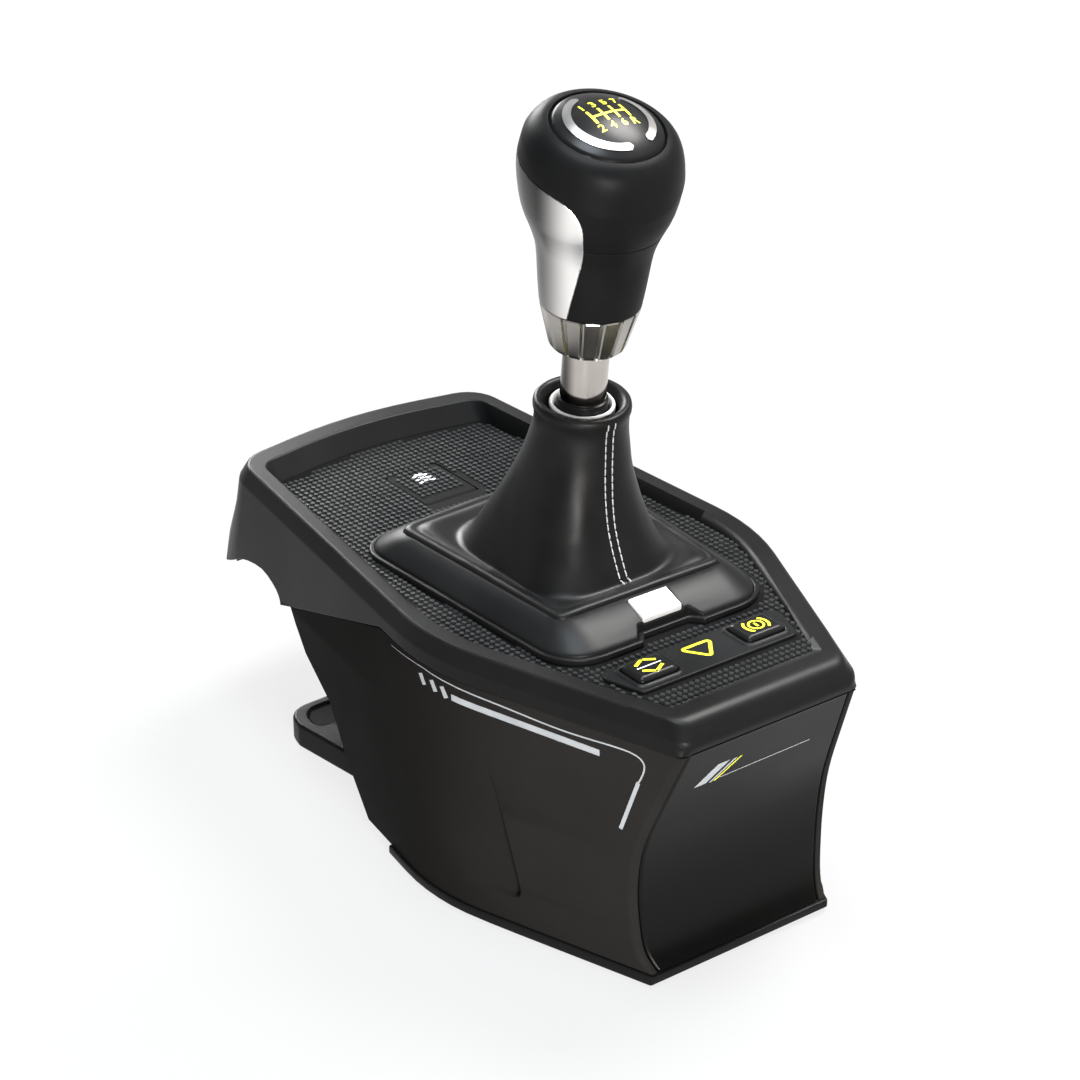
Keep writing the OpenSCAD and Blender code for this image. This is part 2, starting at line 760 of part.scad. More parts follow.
// Gimbal ring that turns fore and aft
ring_x = 44;
ring_y = 36;
ring_h = 18;
window_x = 26;
window_y = 24;
trunnion_end = cheek_x + cheek_t + 3;
module yoke() {
  color(steel) at_pivot() difference() {
    union() {
      plate(ring_x, ring_y, ring_h, [0, 0, -ring_h / 2]);
      rotate([0, 90, 0]) translate([0, 0, -trunnion_end]) cylinder(d = trunnion_d, h = 2 * trunnion_end);
    }
    plate(window_x, window_y, ring_h + 2 * over, [0, 0, -ring_h / 2 - over]);
    rotate([90, 0, 0]) cylinder(d = select_pin_d, h = ring_y + 2 * over, center = true);
  }
}

// Spring washers that give the lever its drag
module drag_washers() {
  color(steel) both_sides() translate([ring_x / 2 + 0.8, pivot_y, pivot_z]) rotate([0, 90, 0]) difference() {
    cylinder(d = trunnion_d + 8, h = cheek_x - ring_x / 2 - 1.1);
    translate([0, 0, -over]) cylinder(d = trunnion_d + 1, h = reach);
  }
}

// Springs that bring the lever back to the middle lane
module centring_springs() {
  spring_d = 6;
  spring_l = 4.4;
  color(steel) at_pivot() both_sides() translate([window_x / 2 - spring_l, 0, 0])
    rotate([0, 90, 0]) difference() {
    cylinder(d = spring_d, h = spring_l);
    translate([0, 0, -over]) cylinder(d = spring_d - 2, h = spring_l + 2 * over);
  }
}

module detent_plunger() {
  tip = 2;
  color(steel) translate([0, cross_y, pivot_z]) rotate([-90, 0, 0]) union() {
    translate([0, 0, -4]) cylinder(d = plunger_d, h = cross_t + 4);
    translate([0, 0, cross_t]) cylinder(d = plunger_d - 2, h = tip);
  }
}

// Gate plate with one cross slot and four lanes
function lane_x(i) = -gate_depth * tan(i * lane_step);
lanes = [-1, 0, 1, 2];
lane_reach = gate_depth * tan(throw_angle) + gate_pin_d / 2 + gate_t / 2 * tan(throw_angle) + 0.6;
gate_l = 2 * lane_reach + 12;
module slot(from, to) {
  d = to - from;
  for (p = [from, to]) translate([p.x, p.y, -over]) cylinder(d = gate_slot_w, h = gate_t + 2 * over);
  translate([from.x, from.y, -over]) rotate([0, 0, atan2(d.y, d.x)]) translate([0, -gate_slot_w / 2, 0])
    cube([norm(d), gate_slot_w, gate_t + 2 * over]);
}

module gate_plate() {
  lane_end = lane_reach - gate_slot_w / 2;
  color(steel) at_pivot() translate([0, 0, -gate_depth - gate_t / 2]) difference() {
    plate(2 * cheek_x, gate_l, gate_t, [0, 0, 0]);
    slot([lane_x(lanes[3]), 0], [lane_x(lanes[0]), 0]);
    for (i = lanes) slot([lane_x(i), -lane_end], [lane_x(i), lane_end]);
  }
}

magnet_d = 6;
magnet_t = 2.5;
module shift_magnet() {
  color(steel) translate([trunnion_end, pivot_y, pivot_z]) rotate([0, 90, 0])
    cylinder(d = magnet_d, h = magnet_t);
}

sensor_gap = 1.2;
module shift_sensor() {
  board_x = trunnion_end + magnet_t + sensor_gap;
  post_y = bush_d / 2 + 5;
  color(board_green) union() {
    translate([board_x, pivot_y - post_y - 3, pivot_z - 7]) cube([board_t, 2 * post_y + 6, 14]);
    for (s = [-1, 1]) translate([cheek_x + cheek_t, pivot_y + s * post_y, pivot_z]) rotate([0, 90, 0])
      cylinder(d = 4, h = board_x - cheek_x - cheek_t + 0.2);
  }
}

module select_pin() {
  color(steel) at_pivot() rotate([90, 0, 0]) cylinder(d = select_pin_d, h = ring_y, center = true);
}

lower_rod_d = 8;
sensor_z = -20;
module select_magnet() {
  color(steel) at_pivot() translate([0, lower_rod_d / 2, sensor_z]) rotate([-90, 0, 0]) difference() {
    translate([0, 0, -1]) cylinder(d = magnet_d, h = magnet_t + 1);
    rotate([90, 0, 0]) translate([0, -lower_rod_d / 2, -reach / 2]) rotate([0, 0, 0])
      cylinder(d = lower_rod_d, h = reach);
  }
}

module select_sensor() {
  color(board_green) at_pivot() plate(16, board_t, 18, [0, ring_y / 2 - 3, -ring_h / 2 - 18]);
}

// Lever below the shaft: hub, lower rod and gate pin
hub_x = 14;
hub_y = 22;
hub_h = 20;
lower_rod_end = gate_depth - 12;
module lever_hub() {
  color(steel) at_pivot() difference() {
    union() {
      plate(hub_x, hub_y, hub_h, [0, 0, -hub_h / 2]);
      translate([0, 0, -lower_rod_end]) cylinder(d = lower_rod_d, h = lower_rod_end);
      translate([0, 0, -gate_depth - 6]) cylinder(d = gate_pin_d, h = gate_depth);
    }
    rotate([90, 0, 0]) cylinder(d = select_pin_d + 2 * run_gap, h = 2 * hub_y, center = true);
  }
}

shaft_top = knob_foot + 38;
module lever_shaft() {
  color(bright) at_pivot() translate([0, 0, hub_h / 2]) cylinder(d = shaft_d, h = shaft_top - hub_h / 2);
}

boot_top = 88;
bush_h = 8;
boot_bush_d = shaft_d + 3;
boot_ring_d = boot_bush_d + 3.2;
module boot_bush() {
  color(black) at_pivot() translate([0, 0, boot_top - bush_h]) difference() {
    cylinder(d = boot_bush_d, h = bush_h);
    translate([0, 0, -over]) cylinder(d = shaft_d, h = bush_h + 2 * over);
  }
}

module boot_ring() {
  color(bright) at_pivot() translate([0, 0, boot_top - 3.4]) difference() {
    cylinder(d = boot_ring_d, h = 3);
    translate([0, 0, -over]) cylinder(d = boot_bush_d, h = 3 + 2 * over);
  }
}

// Knob: side outline as radius and height above the knob's foot
knob_r = knob_d / 2;
knob_top = knob_h + 8;
collar_flare = 17.2;
collar_foot = 9.4;
collar_top_d = shaft_d + collar_flare;
module knob_collar() {
  color(bright) at_pivot() translate([0, 0, knob_foot - collar_h]) difference() {
    cylinder(d1 = shaft_d + collar_foot, d2 = collar_top_d, h = collar_h);
    translate([0, 0, -over]) cylinder(d = shaft_d, h = collar_h + 2 * over);
  }
}

sleeve_wall = 2.5;
insert_sleeve_d = shaft_d + 2 * sleeve_wall;
module knob_insert() {
  color(brass) at_pivot() translate([0, 0, knob_foot]) difference() {
    cylinder(d = insert_sleeve_d, h = shaft_top - knob_foot);
    translate([0, 0, -over]) cylinder(d = shaft_d, h = shaft_top);
  }
}

// Radius at the foot, waist and shoulder stays with the collar, the head follows the knob's diameter
grip_low_h = 7;
grip_high_h = 18.5;
shoulder_h = 25;
swell_h = 33.5;
widest_h = 44.6;
brow_h = 52;
crown_h = 60.7;
knob_curve = smooth([[collar_top_d / 2, 0], [collar_top_d / 2 + 0.9, grip_low_h],
  [collar_top_d / 2 + 2.2, grip_high_h], [knob_r - 5.4, shoulder_h], [knob_r - 1.9, swell_h],
  [knob_r, widest_h], [knob_r - 0.5, brow_h], [knob_r - 3, crown_h], [knob_r - 8, knob_top]], 3);
// Shoulder of the head round the disc, as radius and height from the disc's plane
crown_curve = smooth([[cap_d / 2 + 0.4, 0], [cap_d / 2 + 2.6, -0.9], [cap_d / 2 + 5, -3.2],
  [cap_d / 2 + 7, -7.4], [cap_d / 2 + 8.6, -14], [cap_d / 2 + 10.2, -24], [cap_d / 2 + 11, -34]], 3);
spine_t = 1.6;
spine_gap = 0.05;
knob_split = 26.6;

module knob_solid(d) {
  rotate_extrude() polygon(concat([[0, 0]], [for (p = knob_curve) [max(p.x - d, 0.1), p.y]],
    [[0, knob_top]]));
}

module crown_solid() {
  cap_frame() rotate_extrude() polygon(concat([[0, -reach], [knob_d, -reach], [knob_d, -42]],
    backwards(crown_curve), [[0, 0]]));
}

// Edge of the bright spine, seen from the side: depth from the axis and height
spine_edge = smooth([[-collar_top_d / 2 * 0.42, -over], [-9.2, 9], [-11.3, 18], [-14, 26.4], [-16, 34],
  [-15.2, 39.6], [-12, 43.2], [-5, 45.6], [6, 48], [16, 50], [knob_r + 4, 51.5]], 3);
module spine_zone(d) {
  across(-reach, reach) polygon(concat([for (p = spine_edge) [p.x - d, p.y + d]], [[knob_r + 4, -over]]));
}

module knob_body() {
  difference() {
    intersection() {
      knob_solid(0);
      crown_solid();
    }
    intersection() {
      spine_zone(spine_gap);
      difference() {
        translate([0, 0, -over]) cylinder(d = 2 * knob_d, h = knob_top);
        knob_solid(spine_t);
      }
    }
    cap_frame() translate([0, 0, -cap_seat]) cylinder(d = cap_d, h = cap_seat + over);
    translate([0, 0, -over]) cylinder(d = insert_sleeve_d, h = shaft_top - knob_foot + over);
  }
}

// Plane of the disc on top of the knob
cap_seat = 2;
cap_y = -1.8;
// Domed top of the disc, as radius and height from its edge
cap_dome = 4.4;
cap_edge = cap_d / 2 - 0.4;
dome_r = (cap_edge * cap_edge + cap_dome * cap_dome) / (2 * cap_dome);
dome_steps = 14;
cap_curve = [for (k = [0 : dome_steps]) let (r = cap_edge * (1 - k / dome_steps))
  [r, sqrt(dome_r * dome_r - r * r) - dome_r + cap_dome]];
module cap_frame() {
  translate([0, cap_y, knob_h]) rotate([cap_tilt, 0, 0]) children();
}

module knob_grip() {
  color(black) at_pivot() translate([0, 0, knob_foot]) intersection() {
    knob_body();
    translate([0, 0, -over]) cylinder(d = 2 * knob_d, h = knob_split + over);
  }
}

module knob_head() {
  color(soft_black) at_pivot() translate([0, 0, knob_foot]) intersection() {
    knob_body();
    translate([0, 0, knob_split]) cylinder(d = 2 * knob_d, h = knob_top);
  }
}

module knob_spine() {
  color(bright) at_pivot() translate([0, 0, knob_foot]) intersection() {
    spine_zone(0);
    difference() {
      knob_solid(0);
      knob_solid(spine_t - spine_gap);
    }
  }
}

module knob_cap() {
  color(black) at_pivot() translate([0, 0, knob_foot]) cap_frame() rotate_extrude()
    polygon(concat([[0, -cap_seat], [cap_d / 2, -cap_seat], [cap_d / 2, -0.4]], cap_curve));
}

// Start and sweep of the two bright arcs, which lie on the dome
arc_turns = [[104, 164], [-64, 106]];
arc_rows = [3, 4, 5];
arc_t = 0.3;
module cap_arcs() {
  color(bright) at_pivot() translate([0, 0, knob_foot]) cap_frame()
    for (turn = arc_turns) rotate([0, 0, turn[0]]) rotate_extrude(angle = turn[1])
      polygon(concat([for (k = backwards(arc_rows)) cap_curve[k]],
        [for (k = arc_rows) cap_curve[k] + [0, arc_t]]));
}

// Gaiter: a bell from the frame up to a rolled collar round the lever
boot_wall = 2;
boot_rings = 8;
boot_spokes = 48;
boot_collar_r = 17.2;
boot_mouth_r = boot_ring_d / 2 + 0.4;
boot_low = frame_h - 3;
boot_bead = frame_h + 1;
boot_mid_y = (frame_front_y + frame_rear_y) / 2;

// Distance from the middle of the boot to an outline, in one direction
function spoke(c, a) = max([for (i = [0 : len(c) - 1])
  let (p = c[i] - [0, boot_mid_y], e = c[(i + 1) % len(c)] - c[i], d = [cos(a), sin(a)])
  let (den = cross2(d, e))
  abs(den) < 0.000001 ? 0 : let (t = cross2(p, e) / den, k = cross2(p, d) / den)
    (t > 0 && k >= 0 && k <= 1) ? t : 0]);
function spoke_angle(i) = 360 * i / boot_spokes;
function even_outline(c) = [for (i = [0 : boot_spokes - 1]) let (a = spoke_angle(i))
  [0, boot_mid_y] + spoke(c, a) * [cos(a), sin(a)]];
boot_edge_out = even_outline(boot_outline(gap));
boot_edge_in = even_outline(boot_outline(gap + boot_wall));
bead_w = 3;
cone_in = 14;
cone_half = frame_front_half - cone_in;
cone_front = 20.4;
cone_rear = 32;
cone_corners = [[-cone_half, frame_front_y + cone_front], [cone_half, frame_front_y + cone_front],
  [cone_half, frame_rear_y - cone_rear], [-cone_half, frame_rear_y - cone_rear]];
function cone_outline(d) = even_outline(rounded(inset(cone_corners, [d, d, d, d]), [14, 14, 18, 18]));
flange_in = even_outline(boot_outline(gap + bead_w));
cone_out = cone_outline(0);
cone_inner = cone_outline(boot_wall);
valley = [for (i = [0 : boot_spokes - 1]) (flange_in[i] + cone_out[i]) / 2];

function deck_point(p) = [p.x, p.y * cos(deck_tilt) + p.z * sin(deck_tilt),
  deck_z - p.y * sin(deck_tilt) + p.z * cos(deck_tilt)];
function lever_point(p) = [p.x, pivot_y + p.y * cos(lean) - p.z * sin(lean),
  pivot_z + p.y * sin(lean) + p.z * cos(lean)];
function boot_circle(r, l) = [for (i = [0 : boot_spokes - 1]) let (a = spoke_angle(i))
  lever_point([r * cos(a), r * sin(a), l])];
function boot_foot(c, h) = [for (p = c) deck_point([p.x, p.y, h])];
function boot_mix(t, c, r) = let (w = pow(1 - t, 1.7), low = boot_foot(c, boot_bead))
  [for (i = [0 : boot_spokes - 1])
    let (l = (low[i].z - pivot_z) / cos(lean), a = spoke_angle(i))
    let (q = lever_point([r * cos(a), r * sin(a), l + (boot_top - 2 - l) * t]))
    low[i] * w + q * (1 - w) + [0, 0, (q.z - low[i].z) * w]];

module boot() {
  color(soft_black) ring_loft(concat(
    [boot_foot(boot_edge_out, boot_low), boot_foot(boot_edge_out, boot_bead),
      boot_foot(flange_in, boot_bead - 0.6),
     boot_foot(valley, boot_bead - 1.4)],
    [for (k = [0 : boot_rings]) boot_mix(k / boot_rings, cone_out, boot_collar_r)],
    [boot_circle(boot_collar_r - 1, boot_top + 0.2), boot_circle(boot_mouth_r + 1.2, boot_top + 0.2),
     boot_circle(boot_mouth_r, boot_top - 2)],
    [for (k = [boot_rings - 1 : -1 : 0])
      boot_mix(k / boot_rings * 0.94, cone_inner, boot_collar_r - boot_wall)],
    [boot_foot(valley, boot_bead - 1.4 - boot_wall), boot_foot(boot_edge_in, boot_low)]));
}

// Desk clamp
jaw_neck_half = 48;
jaw_front_y = 38;
jaw_shoulder_y = jaw_tip_y - 13;
jaw_outline = rounded([[-jaw_neck_half, jaw_front_y], [jaw_neck_half, jaw_front_y],
  [jaw_half_w, jaw_shoulder_y], [jaw_half_w - 2, jaw_tip_y - 2], [0, jaw_tip_y],
  [-jaw_half_w + 2, jaw_tip_y - 2], [-jaw_half_w, jaw_shoulder_y]],
  [4, 4, 6, 9, 100, 9, 6]);
pad_outline = rounded([[-jaw_half_w + 6, screw_y + 6.5], [jaw_half_w - 6, screw_y + 6.5],
  [jaw_half_w - 5.5, jaw_tip_y - 6], [-jaw_half_w + 5.5, jaw_tip_y - 6]], [3, 3, 7, 7]);
jaw_low_z = jaw_top_z - jaw_t;
pocket_t = 2.5;
jaw_pad_t = 1.7;
nut_w = 14;
nut_h = 6;
nut_z = jaw_low_z + 0.8;

module rod_places() {
  both_sides() translate([rod_x, rod_y, 0]) children();
}

module clamp_jaw() {
  color(black) difference() {
    translate([0, 0, jaw_low_z]) linear_extrude(jaw_t) polygon(jaw_outline);
    translate([0, 0, jaw_top_z - pocket_t]) linear_extrude(pocket_t + over) polygon(pad_outline);
    rod_places() translate([0, 0, jaw_low_z + 2]) cylinder(d = rod_d, h = jaw_t);
    translate([0, screw_y, 0]) cylinder(d = screw_d + 1, h = jaw_top_z + over);
    plate(nut_w, nut_w, nut_h, [0, screw_y, nut_z]);
  }
}

module jaw_pad() {
  color(soft_black) translate([0, 0, jaw_top_z - pocket_t]) linear_extrude(jaw_pad_t) polygon(pad_outline);
}

module clamp_nut() {
  color(brass) difference() {
    plate(nut_w, nut_w, nut_h, [0, screw_y, nut_z]);
    translate([0, screw_y, 0]) cylinder(d = screw_d + 2 * run_gap, h = jaw_top_z + over);
  }
}

guide_z0 = jaw_top_z + jaw_travel + 1;
guide_h = 18;
module guide_rods() {
  color(steel) rod_places() translate([0, 0, jaw_low_z + 2])
    cylinder(d = rod_d, h = guide_z0 + guide_h - 0.5 - jaw_low_z - 2);
}

module guide_bushes() {
  half = rod_d / 2 + 4;
  color(soft_black) both_sides() difference() {
    translate([rod_x - half, rear_wall_y, guide_z0]) cube([2 * half, rod_y + half - rear_wall_y, guide_h]);
    translate([rod_x, rod_y, 0]) cylinder(d = rod_d + 2 * run_gap, h = rim_z);
  }
}

screw_head_d = 15;
screw_head_h = 7.5;
thrust_h = 5.4;
thrust_top = ceiling_z + thrust_h;
module thrust_bush() {
  color(brass) difference() {
    translate([0, screw_y, ceiling_z]) cylinder(d = screw_d + 8, h = thrust_h);
    translate([0, screw_y, 0]) cylinder(d = screw_d + 2 * run_gap, h = rim_z);
  }
}

module clamp_screw() {
  color(steel) difference() {
    union() {
      translate([0, screw_y, jaw_low_z + 0.4]) cylinder(d = screw_d, h = thrust_top + 0.1 - jaw_low_z);
      translate([0, screw_y, thrust_top + 0.1]) cylinder(d = screw_head_d, h = screw_head_h);
    }
    translate([0, screw_y, thrust_top + 3]) cylinder(d = 7, h = screw_head_h, $fn = 6);
  }
}

base_plate();
base_pad();
threaded_inserts();
left_side_panel();
right_side_panel();
front_panel();
rear_panel();
top_shell();
desk_pad();
deck_panel();
screw_well();
access_door();
door_hinge_pin();
boot_frame();
frame_trim();
frame_tab();
button_plate();
range_button();
brake_button();
button_board();
main_board();
usb_socket();
case_screws();
mech_frame();
pivot_bushes();
yoke();
drag_washers();
centring_springs();
detent_plunger();
gate_plate();
shift_magnet();
shift_sensor();
select_pin();
select_magnet();
select_sensor();
lever_hub();
lever_shaft();
boot_bush();
boot_ring();
knob_collar();
knob_insert();
knob_grip();
knob_head();
knob_spine();
knob_cap();
cap_arcs();
boot();
clamp_jaw();
jaw_pad();
clamp_nut();
guide_rods();
guide_bushes();
clamp_screw();
thrust_bush();
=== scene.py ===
import bpy
import bmesh
import json
import math
from mathutils import Matrix, Vector, noise
from mathutils.bvhtree import BVHTree


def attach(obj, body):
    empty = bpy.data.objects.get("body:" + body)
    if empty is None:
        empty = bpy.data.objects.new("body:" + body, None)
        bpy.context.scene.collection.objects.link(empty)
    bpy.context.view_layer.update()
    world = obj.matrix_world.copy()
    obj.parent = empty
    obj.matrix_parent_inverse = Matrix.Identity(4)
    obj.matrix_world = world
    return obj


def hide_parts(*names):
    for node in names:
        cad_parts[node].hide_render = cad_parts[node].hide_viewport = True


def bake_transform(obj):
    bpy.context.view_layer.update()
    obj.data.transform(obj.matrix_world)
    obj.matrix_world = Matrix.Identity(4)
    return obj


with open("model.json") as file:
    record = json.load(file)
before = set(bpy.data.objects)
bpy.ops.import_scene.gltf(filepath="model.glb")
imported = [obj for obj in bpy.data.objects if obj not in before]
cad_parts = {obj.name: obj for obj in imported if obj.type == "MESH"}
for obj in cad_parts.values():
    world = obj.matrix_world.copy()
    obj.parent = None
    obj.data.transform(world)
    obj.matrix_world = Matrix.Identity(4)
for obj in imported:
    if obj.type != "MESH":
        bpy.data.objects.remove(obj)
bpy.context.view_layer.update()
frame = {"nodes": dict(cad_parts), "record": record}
nodes = frame["nodes"]
scene = bpy.context.scene
scene.view_settings.view_transform = "Standard"
mm = 0.001

# local frames of the sloping deck, the lever, its knob and the knob's disc
deckSpace = Matrix.Translation((0, 0, 0.09635)) @ Matrix.Rotation(math.radians(-1.6), 4, "X")
leverSpace = Matrix.Translation((0, -0.0174, 0.074)) @ Matrix.Rotation(math.radians(6), 4, "X")
knobSpace = leverSpace @ Matrix.Translation((0, 0, 0.1239))
capSpace = knobSpace @ Matrix.Translation((0, -0.0018, 0.0594)) @ Matrix.Rotation(math.radians(12), 4, "X")


# camera, light and floor
stageLook = {
    "eye": (-478.8, -670.9, 543.7), "aim": (0.5, -2.8, 100.4), "lens": 93.4, "sensor": 36,
    "floorColour": (0.3, 0.3, 0.3, 1), "floorWhite": 0.8, "floorSize": 30,
    "sky": ((0.5, 1.0), (0.53, 0.6), (0.6, 0.34), (0.72, 0.12), (1.0, 0.1)),  # height in the sky, brightness
    # name: place, aim, size, watts, colour
    "lamps": {
        "backLamp": ((0.36, 1.55, 0.72), (0, 0.02, 0.1), 0.7, 32, (1, 1, 1)),
        "topLamp": ((0.85, 0.1, 1.55), (0, -0.03, 0.1), 0.7, 66, (1, 0.98, 0.96)),
        "skyLamp": ((-0.1, -0.15, 1.9), (0, -0.02, 0.1), 0.7, 46, (0.82, 0.92, 1)),
        "keyLamp": ((-0.75, -1.75, 0.55), (0, -0.05, 0.1), 0.5, 56, (1, 0.96, 0.92)),
        "lowLamp": ((-0.22, -0.31, 0.05), (0, 0, 0.2), 0.16, 0.4, (1, 1, 1)),
    },
}


def feed(tree, node, inputs):                           # each input takes a value or another node's output
    for name, value in inputs.items():
        if isinstance(value, bpy.types.NodeSocket):
            tree.links.new(value, node.inputs[name])
        else:
            node.inputs[name].default_value = value


def addNode(tree, kind, inputs, **settings):
    node = tree.nodes.new("ShaderNode" + kind)
    for name, value in settings.items():
        setattr(node, name, value)
    feed(tree, node, inputs)
    return node


def aimedAt(place, target):
    return (Vector(target) - Vector(place)).to_track_quat("-Z", "Y").to_euler()


def setCamera(look):
    eye = bpy.data.cameras.new("photoCamera")
    eye.lens = look["lens"]
    eye.sensor_width = look["sensor"]
    camera = bpy.data.objects.new("photoCamera", eye)
    camera.location = Vector(look["eye"]) * mm
    camera.rotation_euler = aimedAt(look["eye"], look["aim"])
    scene.collection.objects.link(camera)
    scene.camera = camera


def setLamps(look):
    for name, (place, target, size, watts, colour) in look["lamps"].items():
        lamp = bpy.data.lights.new(name, "AREA")
        lamp.shape = "DISK"
        lamp.size = size
        lamp.energy = watts
        lamp.color = colour
        holder = bpy.data.objects.new(name, lamp)
        holder.location = place
        holder.rotation_euler = aimedAt(place, target)
        scene.collection.objects.link(holder)


def setSky(look):                                       # pale near the horizon and dark above
    scene.world = bpy.data.worlds.new("studio")
    scene.world.use_nodes = True
    tree = scene.world.node_tree
    tree.nodes.clear()
    way = addNode(tree, "TexCoord", {})
    split = addNode(tree, "SeparateXYZ", {"Vector": way.outputs["Generated"]})
    lift = addNode(tree, "MapRange", {"Value": split.outputs["Z"], "From Min": -1})
    ramp = addNode(tree, "ValToRGB", {"Fac": lift.outputs["Result"]})
    steps = ramp.color_ramp.elements
    while len(steps) < len(look["sky"]):
        steps.new(1)
    for step, (place, bright) in zip(steps, look["sky"]):
        step.position = place
        step.color = (bright, bright, bright, 1)
    studio = addNode(tree, "Background", {"Color": ramp.outputs["Color"], "Strength": 1})
    addNode(tree, "OutputWorld", {"Surface": studio.outputs[0]})


def whiteRays(tree):                                    # the rays that see the white background
    ray = addNode(tree, "LightPath", {})
    total = ray.outputs["Is Camera Ray"]
    for name in ("Is Glossy Ray", "Is Transmission Ray"):
        both = addNode(tree, "Math", {0: total, 1: ray.outputs[name]}, operation="ADD", use_clamp=True)
        total = both.outputs[0]
    return total


def setFloor(look):
    bm = bmesh.new()
    bmesh.ops.create_grid(bm, x_segments=2, y_segments=2, size=look["floorSize"])
    mesh = bpy.data.meshes.new("studioFloor")
    bm.to_mesh(mesh)
    bm.free()
    floor = bpy.data.objects.new("studioFloor", mesh)
    scene.collection.objects.link(floor)
    paper = bpy.data.materials.new("floorPaper")
    paper.use_nodes = True
    tree = paper.node_tree
    tree.nodes.clear()
    matte = addNode(tree, "BsdfDiffuse", {"Color": look["floorColour"]})
    glow = addNode(tree, "Emission", {"Strength": 1})
    share = addNode(tree, "Math", {0: whiteRays(tree), 1: look["floorWhite"]}, operation="MULTIPLY")
    seen = addNode(tree, "MixShader", {0: share.outputs[0], 1: matte.outputs[0], 2: glow.outputs[0]})
    addNode(tree, "OutputMaterial", {"Surface": seen.outputs[0]})
    mesh.materials.append(paper)


for setPart in (setCamera, setLamps, setSky, setFloor):
    setPart(stageLook)
print("stage set")


